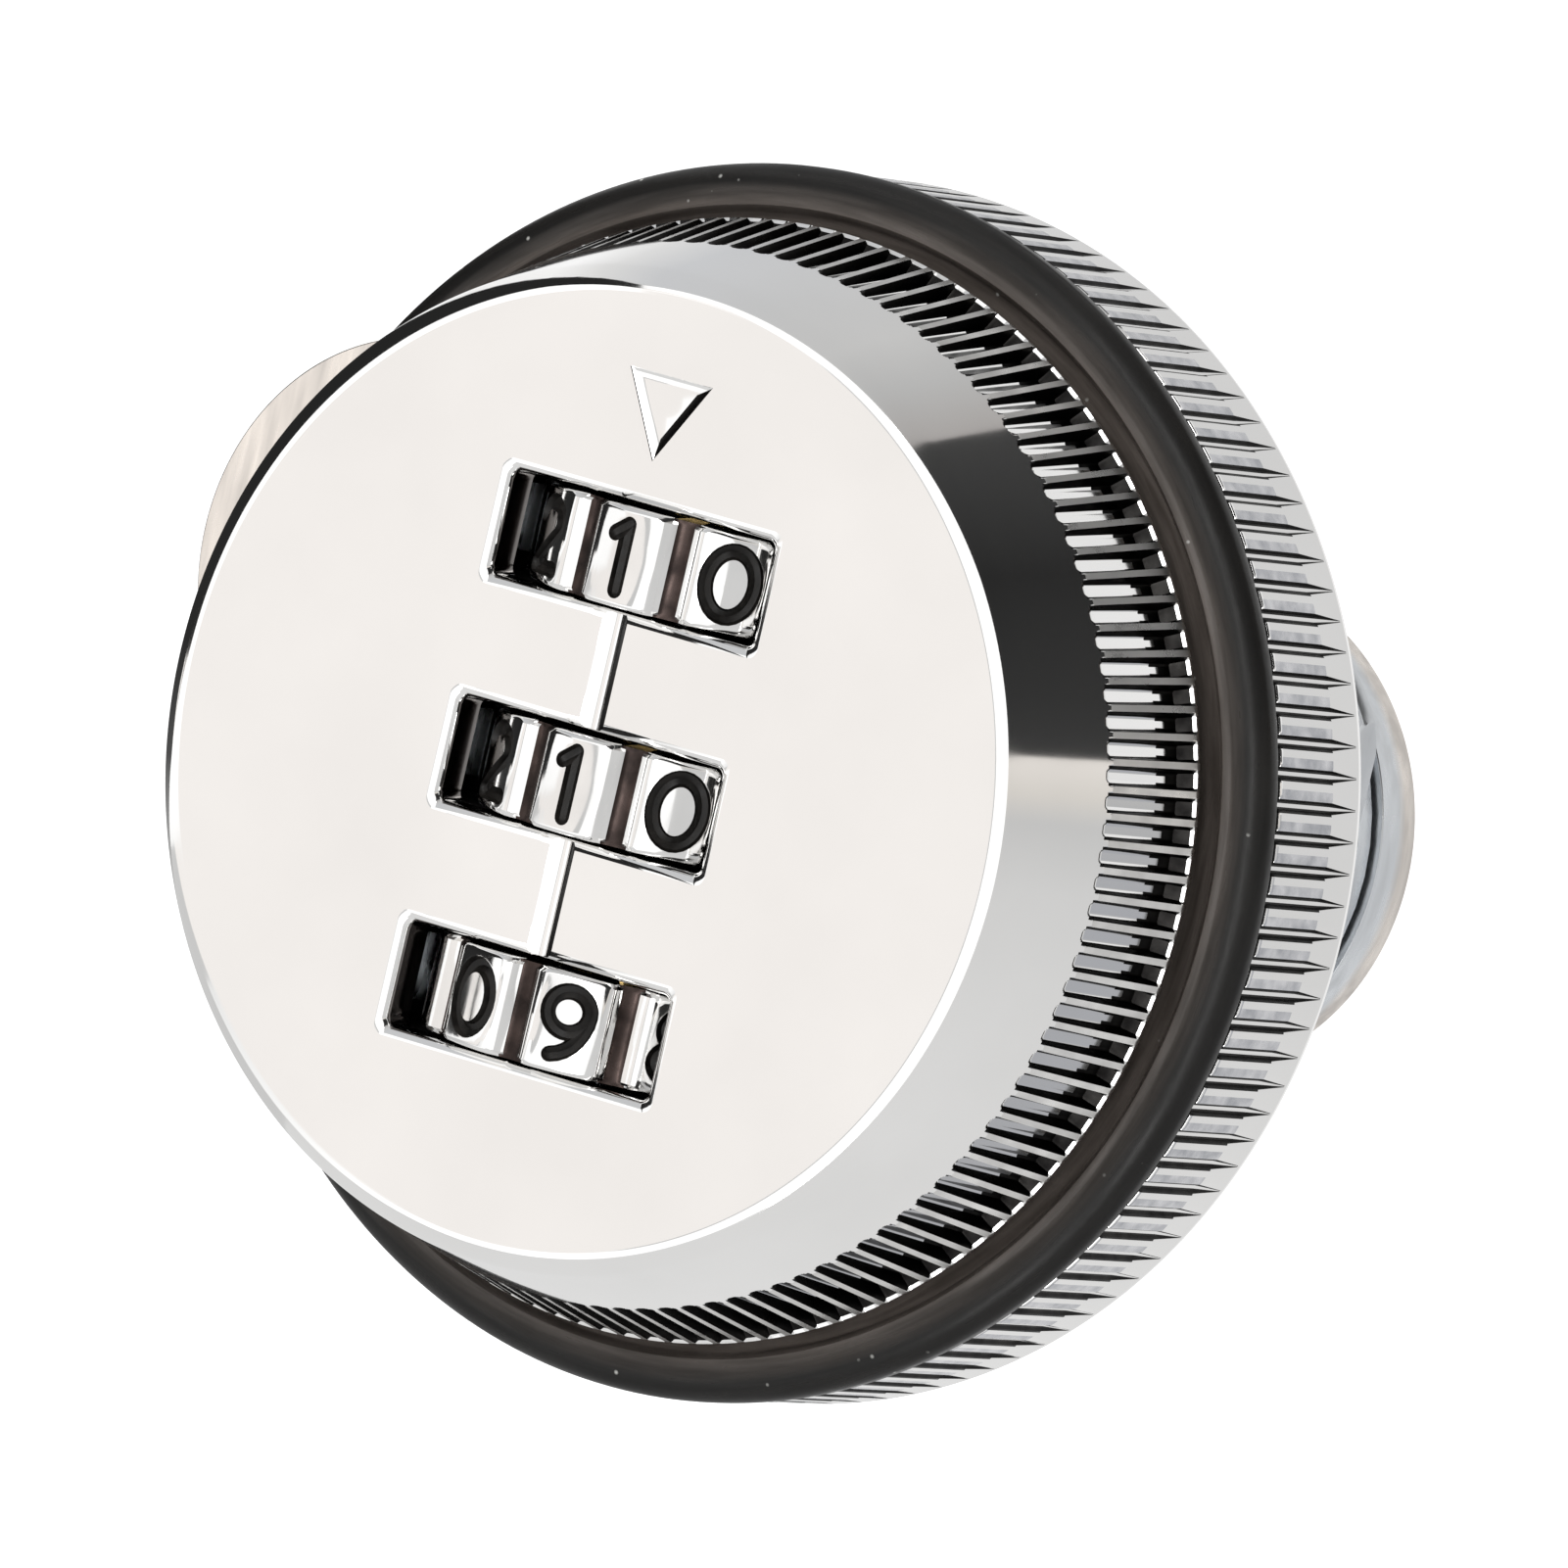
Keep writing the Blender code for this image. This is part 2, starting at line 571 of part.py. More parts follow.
def clutch_sleeve(which, brass):
    """The sleeve inside a wheel, with a gated flange above the wheel."""
    low = -WHEEL_WIDTH / 2
    outline = [(AXLE_BORE, low), (SLEEVE_RADIUS, low), (SLEEVE_RADIUS, SLEEVE_FLANGE_LOW),
               (SLEEVE_FLANGE, SLEEVE_FLANGE_LOW), (SLEEVE_FLANGE, SLEEVE_FLANGE_HIGH),
               (AXLE_BORE, SLEEVE_FLANGE_HIGH)]
    bm = bmesh.new()
    points = [bm.verts.new((radius, 0, z)) for radius, z in outline]
    edges = [bm.edges.new((points[i - 1], points[i])) for i in range(len(points))]
    bmesh.ops.spin(bm, geom=points + edges, cent=(0, 0, 0), axis=(0, 0, 1),
                   angle=2 * pi, steps=SMALL_ROUND, use_merge=True)
    sleeve = to_object(f"{which}_sleeve", bm, brass)
    sleeve.location = (0, at(WHEEL_DEPTH), WHEEL_HEIGHTS[which])
    half = TOOTH_WIDTH / 2 + RUN_GAP
    height = WHEEL_HEIGHTS[which]
    cut(sleeve, box(f"{which}_gate_cutter", (GATE_FLOOR, SLEEVE_FLANGE + RUN_GAP),
                    (WHEEL_DEPTH - half, WHEEL_DEPTH + half),
                    (height + SLEEVE_FLANGE_LOW - SEAT_GAP,
                     height + SLEEVE_FLANGE_HIGH + SEAT_GAP)))
    return sleeve


def detent_spring(which, steel):
    """A bowed leaf that clicks on the wheel's left side."""
    steps = 8
    near = -WHEEL_RADIUS - RUN_GAP
    inner = []
    for i in range(steps + 1):
        share = 2 * i / steps - 1
        bow = SPRING_BOW * (1 + cos(pi * share)) / 2
        inner.append((near - SPRING_BOW + bow, WHEEL_DEPTH + share * SPRING_LENGTH / 2))
    outer = [(x - SPRING_LEAF, depth) for x, depth in reversed(inner)]
    height = WHEEL_HEIGHTS[which]
    rings = []
    for z in (height - SPRING_WIDTH / 2, height + SPRING_WIDTH / 2):
        rings.append([(x, at(depth), z) for x, depth in inner + outer])
    return lofted(f"{which}_detent_spring", rings, steel)


def locking_slide(steel):
    """A comb with a tooth in each gate and a bolt that reaches into the barrel's cup."""
    low = WHEEL_HEIGHTS["bottom"] + SLEEVE_FLANGE_LOW
    spine_right = ARM_INNER + SLIDE_SPINE
    slide = box("locking_slide", (ARM_INNER, spine_right), (SLIDE_FRONT, SLIDE_REAR),
                (low, STACK_TOP), steel)
    tooth = (WHEEL_DEPTH - TOOTH_WIDTH / 2, WHEEL_DEPTH + TOOTH_WIDTH / 2)
    for which, height in WHEEL_HEIGHTS.items():
        heights = (height + SLEEVE_FLANGE_LOW + SEAT_GAP / 2,
                   height + SLEEVE_FLANGE_HIGH - SEAT_GAP / 2)
        join(slide, box(f"{which}_arm_part", (ARM_INNER, ARM_INNER + SLIDE_ARM),
                        (tooth[0], SLIDE_FRONT + SLIDE_THICKNESS / 2), heights))
        join(slide, box(f"{which}_tooth_part", (TOOTH_TIP, ARM_INNER + SLIDE_ARM / 2),
                        tooth, heights))
    combine(slide, slide_limit(tooth[0]), 'INTERSECT')
    join(slide, box("bolt_part", (spine_right - SLIDE_SPINE / 2, CARRIER_RADIUS),
                    (SLIDE_FRONT, SLIDE_REAR), (-BOLT_WIDTH / 2, BOLT_WIDTH / 2)))
    guide = bpy.data.objects.new("slide_guide", None)
    bpy.context.scene.collection.objects.link(guide)
    slide.parent = guide
    return slide


def slide_limit(front):
    """The round space that the slide keeps to, so that it clears the cavity when drawn."""
    radius = CAVITY_RADIUS - RUN_GAP / 2
    turns = [2 * pi * i / ROUND for i in range(ROUND)]
    outline = [(radius * cos(turn) - SLIDE_TRAVEL, radius * sin(turn)) for turn in turns]
    return prism("slide_limit", outline, front - RUN_GAP, SLIDE_REAR + RUN_GAP)


def screw_head_front():
    return CARRIER_REAR - SEAT_GAP - SCREW_HEAD_LENGTH


def carrier_screw(side, place, steel):
    """A flat-headed screw from the rear of the carrier into the face plate."""
    x, z = place
    head = screw_head_front()
    turns = [2 * pi * i / SMALL_ROUND for i in range(SMALL_ROUND)]
    stations = ((SCREW_RADIUS, FACE_PLATE - SCREW_BITE), (SCREW_RADIUS, head),
                (SCREW_HEAD, head), (SCREW_HEAD, head + SCREW_HEAD_LENGTH))
    rings = [[(x + radius * cos(turn), at(depth), z + radius * sin(turn)) for turn in turns]
             for radius, depth in stations]
    return lofted(f"carrier_screw_{side}", rings, steel)


# Spindle and barrel

def tongue_places():
    """Name and lower edge of each drive tongue, in the middle of its web."""
    places = []
    for above, below in (("top", "middle"), ("middle", "bottom")):
        web_low = WHEEL_HEIGHTS[below] + SLEEVE_FLANGE_HIGH + RUN_GAP
        web_high = WHEEL_HEIGHTS[above] - SLOT_HALF_WIDTH
        places.append((f"{above}_tongue", (web_low + web_high - TONGUE_WIDTH) / 2))
    return places


def spindle(steel):
    """The flange and tongues that the carrier drives, the shaft, its square and stud."""
    square_front = BARREL_END + SEAT_GAP / 2
    square_rear = CAM_REAR - SEAT_GAP
    made = turned("spindle", [(0, FLANGE_FRONT), (SPINDLE_FLANGE, FLANGE_FRONT),
                              (SPINDLE_FLANGE, FLANGE_REAR), (SPINDLE_RADIUS, FLANGE_REAR),
                              (SPINDLE_RADIUS, square_front), (STUD_RADIUS, square_front),
                              (STUD_RADIUS, STUD_REAR), (0, STUD_REAR)],
                  steel, hollow=False)
    half = SQUARE / 2
    join(made, box("square_part", (-half, half), (square_front - SEAT_GAP, square_rear),
                   (-half, half)))
    for name, low in tongue_places():
        join(made, box(f"{name}_part", (-TONGUE_LENGTH / 2, TONGUE_LENGTH / 2),
                       (FLANGE_FRONT - TONGUE_DEPTH, FLANGE_FRONT + SEAT_GAP),
                       (low, low + TONGUE_WIDTH)))
    return made


def sector_outline(inner, outer, start, end):
    """A piece of a ring between two angles, counted from +X towards +Z."""
    steps = max(2, ceil((end - start) / radians(10)))
    turns = [start + (end - start) * i / steps for i in range(steps + 1)]
    return ([(outer * cos(turn), outer * sin(turn)) for turn in turns]
            + [(inner * cos(turn), inner * sin(turn)) for turn in reversed(turns)])


def threaded_barrel(zinc):
    """The fixed cup and its flat-sided barrel, with the bolt's notches and a stop lug."""
    bore = SPINDLE_RADIUS + RUN_GAP
    chamfer = BARREL_RADIUS - BARREL_CHAMFER
    barrel = turned("threaded_barrel", [
        (CUP_BORE, TRIM_FRONT), (CUP_RADIUS, TRIM_FRONT), (CUP_RADIUS, CUP_REAR),
        (BARREL_RADIUS, CUP_REAR), (BARREL_RADIUS, BARREL_END - BARREL_CHAMFER),
        (chamfer, BARREL_END), (bore, BARREL_END), (bore, CUP_BOTTOM),
        (CUP_BORE, CUP_BOTTOM)], zinc)
    depths = (CUP_REAR, BARREL_END + RUN_GAP)
    reach = BARREL_RADIUS + RUN_GAP
    cut(barrel, box("right_flat_cutter", (FLAT_SIDE, reach), depths, (-reach, reach)),
        box("left_flat_cutter", (-reach, -FLAT_SIDE), depths, (-reach, reach)))
    half = BOLT_WIDTH / 2 + 2 * RUN_GAP
    near = CUP_BORE - CUP_CLEARANCE
    far = CARRIER_RADIUS + SLIDE_TRAVEL + RUN_GAP
    notch = (SLIDE_FRONT - RUN_GAP, SLIDE_REAR + RUN_GAP)
    cut(barrel, box("locked_notch", (near, far), notch, (-half, half)),
        box("turned_notch", (-half, half), notch, (-far, -near)))
    lug = sector_outline(LUG_INNER, LUG_OUTER, pi / 2 - LUG_WIDTH / 2, pi / 2 + LUG_WIDTH / 2)
    join(barrel, prism("lug_part", lug, BARREL_END - RUN_GAP, STOP_REAR - RUN_GAP))
    return barrel


# Gasket, trim ring and nut

def rubber_gasket(rubber):
    """The black ring under the knob: a flat inner part, a ridge and a round outer lip."""
    flat = GASKET_FRONT + GASKET_STEP
    ridge = cone_radius(KNOB_LENGTH) + RUN_GAP
    outline = [(CUP_BORE + RUN_GAP, flat), (ridge, flat),
               (ridge + GASKET_RIDGE_SLOPE, GASKET_FRONT)]
    for turn in (radians(angle) for angle in (20, 45, 65, 90)):
        outline.append((GASKET_RADIUS - GASKET_BEAD * (1 - sin(turn)),
                        GASKET_FRONT + GASKET_BEAD_RISE * (1 - cos(turn))))
    outline += [(GASKET_RADIUS, GASKET_REAR), (CUP_BORE + RUN_GAP, GASKET_REAR)]
    return turned("rubber_gasket", outline, rubber)


def trim_ring(chrome):
    """The fluted ring round the cup, with a flat-sided hole in its rear wall."""
    count = 2 * (flute_count(TRIM_RADIUS, TRIM_FLUTE_PITCH) // 2)
    floor = TRIM_RADIUS - TRIM_FLUTE_DEPTH
    rings = [circle(TRIM_BORE, at(TRIM_FRONT), count // 2),
             fluted(TRIM_RADIUS, floor, TRIM_FRONT, count)]
    run_out = acos(1 - TRIM_FLUTE_DEPTH / TRIM_ROUND)
    for turn in (0, run_out):
        radius = TRIM_RADIUS - TRIM_ROUND * (1 - cos(turn))
        rings.append(fluted(radius, floor, DOOR - TRIM_ROUND * (1 - sin(turn)), count))
    hole = BARREL_RADIUS + SEAT_GAP
    coarse = count // 2
    rings += [circle(TRIM_RADIUS - TRIM_ROUND, at(DOOR), count),
              circle(hole, at(DOOR), coarse), circle(hole, at(DOOR - TRIM_WALL), coarse),
              circle(TRIM_BORE, at(DOOR - TRIM_WALL), coarse)]
    ring = lofted("trim_ring", rings, chrome, closed=True)
    depths = (DOOR - TRIM_WALL, DOOR)
    half = FLAT_HALF_HEIGHT + KEY_OVERLAP
    for side, name in ((1, "right"), (-1, "left")):
        key = sorted((side * (FLAT_SIDE + SEAT_GAP), side * (BARREL_RADIUS + KEY_OVERLAP)))
        join(ring, box(f"{name}_key_part", key, depths, (-half, half)))
    return ring


def mounting_nut(zinc):
    """The hexagonal nut that pulls the lock against the door."""
    nut = prism("mounting_nut", hexagon(NUT_ACROSS_FLATS), NUT_FRONT,
                NUT_FRONT + NUT_THICKNESS, zinc)
    cut(nut, peg("nut_hole", 0, 0, BARREL_RADIUS + SEAT_GAP, NUT_FRONT - RUN_GAP,
                 NUT_FRONT + NUT_THICKNESS + RUN_GAP))
    return nut


# Stop washer, cam and its fastening

def square_hole(name, front, rear):
    half = SQUARE / 2 + SEAT_GAP
    return box(name, (-half, half), (front - RUN_GAP, rear + RUN_GAP), (-half, half))


def stop_washer(steel):
    """A washer on the square whose notch meets the barrel's lug at both ends."""
    start = pi / 2 - LUG_WIDTH / 2 - STOP_PLAY
    end = pi / 2 + KNOB_TURN + LUG_WIDTH / 2 + STOP_PLAY
    washer = turned("stop_washer", [(0, STOP_FRONT), (STOP_WASHER_RADIUS, STOP_FRONT),
                                    (STOP_WASHER_RADIUS, STOP_REAR), (0, STOP_REAR)],
                    steel, hollow=False)
    notch = sector_outline(LUG_INNER - RUN_GAP, STOP_WASHER_RADIUS + LUG_OUTER, start, end)
    cut(washer, prism("stop_notch", notch, STOP_FRONT - RUN_GAP, STOP_REAR + RUN_GAP),
        square_hole("stop_square_hole", STOP_FRONT, STOP_REAR))
    return washer


def cam_outline(radius):
    """A bar with two round ends, from the axis to the left."""
    steps = ROUND // 2
    turns = [pi * i / steps - pi / 2 for i in range(steps + 1)]
    hub = [(radius * cos(turn), radius * sin(turn)) for turn in turns]
    tip = [(-CAM_REACH - radius * cos(turn), -radius * sin(turn)) for turn in turns]
    return hub + tip


def cam(steel):
    stations = ((CAM_RADIUS - CAM_EDGE, CAM_FRONT), (CAM_RADIUS, CAM_FRONT + CAM_EDGE),
                (CAM_RADIUS, CAM_REAR - CAM_EDGE), (CAM_RADIUS - CAM_EDGE, CAM_REAR))
    rings = [[(x, at(depth), z) for x, z in cam_outline(radius)]
             for radius, depth in stations]
    made = lofted("cam", rings, steel)
    cut(made, square_hole("cam_square_hole", CAM_FRONT, CAM_REAR))
    return made


def lock_washer(steel):
    """A split ring under the cam's nut."""
    rear = LOCK_WASHER_FRONT + LOCK_WASHER_THICKNESS
    inner = STUD_RADIUS + SEAT_GAP
    ring = turned("lock_washer", [(inner, LOCK_WASHER_FRONT),
                                  (LOCK_WASHER_RADIUS, LOCK_WASHER_FRONT),
                                  (LOCK_WASHER_RADIUS, rear), (inner, rear)],
                  steel, steps=SMALL_ROUND)
    half = LOCK_WASHER_SPLIT / 2
    cut(ring, box("washer_split", (-half, half),
                  (LOCK_WASHER_FRONT - RUN_GAP, rear + RUN_GAP),
                  (0, LOCK_WASHER_RADIUS + RUN_GAP)))
    return ring


def cam_nut(steel):
    rear = CAM_NUT_FRONT + CAM_NUT_THICKNESS
    nut = prism("cam_nut", hexagon(CAM_NUT_ACROSS_FLATS), CAM_NUT_FRONT, rear, steel)
    cut(nut, peg("cam_nut_hole", 0, 0, STUD_RADIUS + SEAT_GAP,
                 CAM_NUT_FRONT - RUN_GAP, rear + RUN_GAP))
    return nut


def clear_scene():
    for old in list(bpy.data.objects):
        bpy.data.objects.remove(old, do_unlink=True)


def build():
    clear_scene()
    chrome = material("chrome", (0.78, 0.78, 0.77), 0.08, 1.0)
    zinc = material("plated_zinc", (0.55, 0.56, 0.57), 0.3, 1.0)
    steel = material("zinc_plated_steel", (0.5, 0.49, 0.46), 0.35, 1.0)
    brass = material("brass", (0.6, 0.45, 0.2), 0.3, 1.0)
    rubber = material("black_rubber", (0.04, 0.037, 0.035), 0.6, 0.0)
    knob_shell(chrome)
    wheel_carrier(zinc)
    wheel_axle(steel)
    for which in WHEEL_HEIGHTS:
        number_wheel(which, chrome)
        clutch_sleeve(which, brass)
        detent_spring(which, steel)
    locking_slide(steel)
    for side, place in zip(("left", "right"), screw_places()):
        carrier_screw(side, place, steel)
    spindle(steel)
    threaded_barrel(zinc)
    rubber_gasket(rubber)
    trim_ring(chrome)
    mounting_nut(zinc)
    stop_washer(steel)
    cam(steel)
    lock_washer(steel)
    cam_nut(steel)


build()
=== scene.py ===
# %% [markdown]
# # A combination locker lock
# This lesson dresses a measured lock for its portrait. The solids come from a
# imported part, true to size. Here we make the camera, the studio, the finishes,
# and the fine shapes that the solids leave out: polished rims, flutes, engraved
# numbers and screw threads.
#
# The part lies along Y. Its face looks along -Y, +Z is up on the dial, and the
# origin is where the lock meets the front of the door.

# %% Load the measured part
from math import atan, atan2, ceil, cos, degrees, hypot, pi, radians, sin, sqrt, tan

import bmesh
import bpy
from mathutils import Matrix, Vector


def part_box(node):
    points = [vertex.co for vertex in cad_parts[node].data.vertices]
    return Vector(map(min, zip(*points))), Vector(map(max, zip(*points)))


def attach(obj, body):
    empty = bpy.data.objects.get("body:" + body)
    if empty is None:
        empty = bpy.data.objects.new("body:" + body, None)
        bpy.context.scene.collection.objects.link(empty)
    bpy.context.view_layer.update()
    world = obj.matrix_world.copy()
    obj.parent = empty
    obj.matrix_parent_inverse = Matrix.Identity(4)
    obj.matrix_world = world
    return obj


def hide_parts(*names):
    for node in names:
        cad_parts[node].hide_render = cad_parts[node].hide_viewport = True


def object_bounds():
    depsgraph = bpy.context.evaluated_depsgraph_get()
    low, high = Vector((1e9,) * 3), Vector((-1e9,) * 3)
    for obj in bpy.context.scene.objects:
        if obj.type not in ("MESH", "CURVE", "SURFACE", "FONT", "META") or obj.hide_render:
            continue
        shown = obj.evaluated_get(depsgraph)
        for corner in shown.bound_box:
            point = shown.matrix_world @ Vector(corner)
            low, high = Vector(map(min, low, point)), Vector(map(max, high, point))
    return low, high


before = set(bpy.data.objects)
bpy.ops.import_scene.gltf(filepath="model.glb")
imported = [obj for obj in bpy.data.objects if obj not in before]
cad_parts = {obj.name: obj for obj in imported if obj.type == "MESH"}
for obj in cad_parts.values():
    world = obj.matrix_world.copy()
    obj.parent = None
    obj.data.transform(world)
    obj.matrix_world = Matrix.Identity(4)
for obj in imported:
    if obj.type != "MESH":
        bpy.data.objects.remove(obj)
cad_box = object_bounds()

MM = 0.001
face_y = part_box("knob_shell")[0].y
print("box of the solids in mm:", [[round(v / MM, 1) for v in corner] for corner in cad_box])

# %% [markdown]
# ## The camera
# The photograph was taken from far off, with the camera tilted a little. So a
# long lens stands 0.8 m away, to the right of the face and a little above it.
# We work out where it stands from three angles, and build its own right, up and
# forward directions from them.

# %% Stand the camera where the photograph was taken
IMAGE_WIDTH = 1601          # pixels across the photograph
FOCAL_PIXELS = 25771        # the long lens, measured in those pixels
AZIMUTH = radians(31.42)    # to the right of the face
ELEVATION = radians(5.03)
ROLL = radians(13.09)
DISTANCE = 0.801
AIM_RIGHT = 6.45 * MM       # the frame's centre lies beside the middle of the face
AIM_UP = -0.48 * MM

face_centre = Vector((0, face_y, 0))
outward = Vector((sin(AZIMUTH) * cos(ELEVATION), -cos(AZIMUTH) * cos(ELEVATION), sin(ELEVATION)))
forward = -outward
level_right = forward.cross(Vector((0, 0, 1))).normalized()
level_up = level_right.cross(forward)
right = level_right * cos(ROLL) + level_up * sin(ROLL)
up = level_up * cos(ROLL) - level_right * sin(ROLL)

lens = bpy.data.cameras.new("portrait_camera")
lens.sensor_width = 36.0
lens.lens = FOCAL_PIXELS / IMAGE_WIDTH * lens.sensor_width
lens.clip_start = 0.01
lens.clip_end = 20.0
camera = bpy.data.objects.new("portrait_camera", lens)
bpy.context.scene.collection.objects.link(camera)
stand = face_centre + outward * DISTANCE + right * AIM_RIGHT + up * AIM_UP
turn = Matrix((right, up, -forward)).transposed().to_4x4()
camera.matrix_world = Matrix.Translation(stand) @ turn
bpy.context.scene.camera = camera
print("lens of", round(lens.lens), "mm at", [round(v, 3) for v in stand])

# %% [markdown]
# ## The studio
# A chrome lock shows its surroundings more than itself. The walls of this
# studio are a pale sky: white to the camera, light grey to polished metal. Dark
# and bright cards stand round the lock, and each is there for one reflection.
# Cards are seen by shiny surfaces only, so they never block the view or the light.

# %% The pale walls
scene = bpy.context.scene
scene.view_settings.view_transform = 'Standard'
world = bpy.data.worlds.new("pale_studio")
world.use_nodes = True
scene.world = world
walls = world.node_tree
walls.nodes.clear()

WALL_LIGHT = 0.62           # what the walls add to a dull surface
WALL_IN_METAL = 0.80        # how bright polished metal shows them

rays = walls.nodes.new("ShaderNodeLightPath")
seen = walls.nodes.new("ShaderNodeMath")
seen.operation = 'MAXIMUM'
level = walls.nodes.new("ShaderNodeMix")
level.inputs["A"].default_value = WALL_LIGHT
level.inputs["B"].default_value = WALL_IN_METAL
white = walls.nodes.new("ShaderNodeMix")
white.inputs["B"].default_value = 1.0
sky = walls.nodes.new("ShaderNodeBackground")
result = walls.nodes.new("ShaderNodeOutputWorld")
walls.links.new(rays.outputs["Is Camera Ray"], seen.inputs[0])
walls.links.new(rays.outputs["Is Transmission Ray"], seen.inputs[1])
walls.links.new(rays.outputs["Is Glossy Ray"], level.inputs["Factor"])
walls.links.new(level.outputs["Result"], white.inputs["A"])
walls.links.new(seen.outputs["Value"], white.inputs["Factor"])
walls.links.new(white.outputs["Result"], sky.inputs["Strength"])
walls.links.new(sky.outputs["Background"], result.inputs["Surface"])
print("walls: white to the camera,", WALL_IN_METAL, "to metal")

# %% Ways to start on a piece
def fresh():
    """Leaves edit mode and deselects everything."""
    if bpy.context.object and bpy.context.object.mode != 'OBJECT':
        bpy.ops.object.mode_set(mode='OBJECT')
    bpy.ops.object.select_all(action='DESELECT')


def pick(piece):
    """Selects one piece only, so that an operator acts on it alone."""
    fresh()
    piece.select_set(True)
    bpy.context.view_layer.objects.active = piece


def edit(piece):
    """Picks a piece and opens it for editing."""
    pick(piece)
    bpy.ops.object.mode_set(mode='EDIT')


# %% The floor, white to the camera but able to hold a shadow
FLOOR_DROP = 60 * MM        # below the lowest part of the lock
FLOOR_GREY = (0.82, 0.82, 0.82, 1)
FLOOR_GLOW = 0.75           # lifts the floor to white, for the camera only

fresh()
bpy.ops.mesh.primitive_plane_add(size=4, location=(0, 0, cad_box[0][2] - FLOOR_DROP))
floor = bpy.context.object
floor.name = "studio_floor"
paper = bpy.data.materials.new("floor_paper")
paper.use_nodes = True
nodes, links = paper.node_tree.nodes, paper.node_tree.links
body = nodes["Principled BSDF"]
body.inputs["Base Color"].default_value = FLOOR_GREY
body.inputs["Roughness"].default_value = 0.9
body.inputs["Specular IOR Level"].default_value = 0.1
glow = nodes.new("ShaderNodeEmission")
glow.inputs["Strength"].default_value = FLOOR_GLOW
ray = nodes.new("ShaderNodeLightPath")
lift = nodes.new("ShaderNodeMixShader")
both = nodes.new("ShaderNodeAddShader")
links.new(body.outputs["BSDF"], both.inputs[0])
links.new(glow.outputs["Emission"], both.inputs[1])
links.new(ray.outputs["Is Camera Ray"], lift.inputs["Fac"])
links.new(body.outputs["BSDF"], lift.inputs[1])
links.new(both.outputs["Shader"], lift.inputs[2])
links.new(lift.outputs["Shader"], nodes["Material Output"].inputs["Surface"])
floor.data.materials.append(paper)
floor.visible_glossy = False
print("floor at", round(floor.location.z / MM, 1), "mm")

# %% Two soft lamps
def soft_lamp(name, place, size, power):
    """A square area lamp that looks at the lock."""
    fresh()
    bpy.ops.object.light_add(type='AREA', location=place)
    lamp = bpy.context.object
    lamp.name = name
    lamp.data.size = size
    lamp.data.energy = power
    lamp.rotation_euler = (-Vector(place)).to_track_quat('-Z', 'Y').to_euler()
    lamp.visible_glossy = False
    return lamp


soft_lamp("key_lamp", (-0.35, -0.55, 0.75), 0.5, 5.0)
soft_lamp("fill_lamp", (0.7, -0.35, 0.35), 0.5, 2.0)

# %% [markdown]
# Each card's place comes from the surface that shows it. We give the direction
# that a surface faces by two angles: its turn round the lock, from +X towards
# +Z, and its lean towards the front, 0 for a side and 90 for the face. Mirroring
# the view there tells us where that surface looks, and so where its card must
# stand. A card is then a curved strip through a few stops, with a tone at each.
# It ends before the lean at which the surface turns away, because the camera
# sees nothing of what lies beyond.

# %% Curved cards that shiny surfaces reflect
CARD_STEP = 4               # degrees between the points of a card
CARD_MARGIN = 0.3           # degrees between a card and the lean at which surfaces turn away

card_glow = bpy.data.materials.new("card_glow")
card_glow.use_nodes = True
card_glow.node_tree.nodes.clear()
painted = card_glow.node_tree.nodes.new("ShaderNodeAttribute")
painted.attribute_name = "tone"
glow = card_glow.node_tree.nodes.new("ShaderNodeEmission")
out = card_glow.node_tree.nodes.new("ShaderNodeOutputMaterial")
card_glow.node_tree.links.new(painted.outputs["Color"], glow.inputs["Color"])
card_glow.node_tree.links.new(glow.outputs["Emission"], out.inputs["Surface"])


def mirrored(turn, lean):
    """Where a polished surface looks, for the camera; both angles in degrees."""
    side = cos(radians(lean))
    normal = Vector((cos(radians(turn)) * side, -sin(radians(lean)), sin(radians(turn)) * side))
    return forward - 2 * forward.dot(normal) * normal


def lowest_lean(turn):
    """The lean at which a surface turns away from the camera."""
    across = forward.x * cos(radians(turn)) + forward.z * sin(radians(turn))
    return degrees(atan(across / forward.y))


def card(name, *stops, distance=1.5):
    """A strip through stops of (turn, low lean, high lean, tone, grey or a colour)."""
    columns = []
    for here, there in zip(stops, stops[1:]):
        parts = ceil((there[0] - here[0]) / CARD_STEP)
        for part in range(parts + (there is stops[-1])):
            share = part / parts
            values = [a + (b - a) * share for a, b in zip(here[:3], there[:3])]
            tones = [Vector(tone if isinstance(tone, tuple) else (tone,) * 3)
                     for tone in (here[3], there[3])]
            columns.append((*values, tones[0].lerp(tones[1], share)))
    rows = ceil(max(column[2] - column[1] for column in columns) / CARD_STEP)
    fresh()
    bpy.ops.mesh.primitive_grid_add(x_subdivisions=len(columns) - 1, y_subdivisions=rows, size=1)
    made = bpy.context.object
    made.name = name
    tone_paint = made.data.color_attributes.new("tone", 'FLOAT_COLOR', 'POINT')
    for point, paint in zip(made.data.vertices, tone_paint.data):
        turn, low, high, tone = columns[round((point.co.x + 0.5) * (len(columns) - 1))]
        lean = max(low + (high - low) * (point.co.y + 0.5), lowest_lean(turn) + CARD_MARGIN)
        point.co = mirrored(turn, lean) * distance
        paint.color = (*tone, 1)
    made.data.materials.append(card_glow)
    made.visible_camera = False
    made.visible_diffuse = False
    made.visible_transmission = False
    made.visible_shadow = False
    return made


# %% Cards for the face and its rounded rim
FACE_TONE = (0.98, 0.947, 0.922)

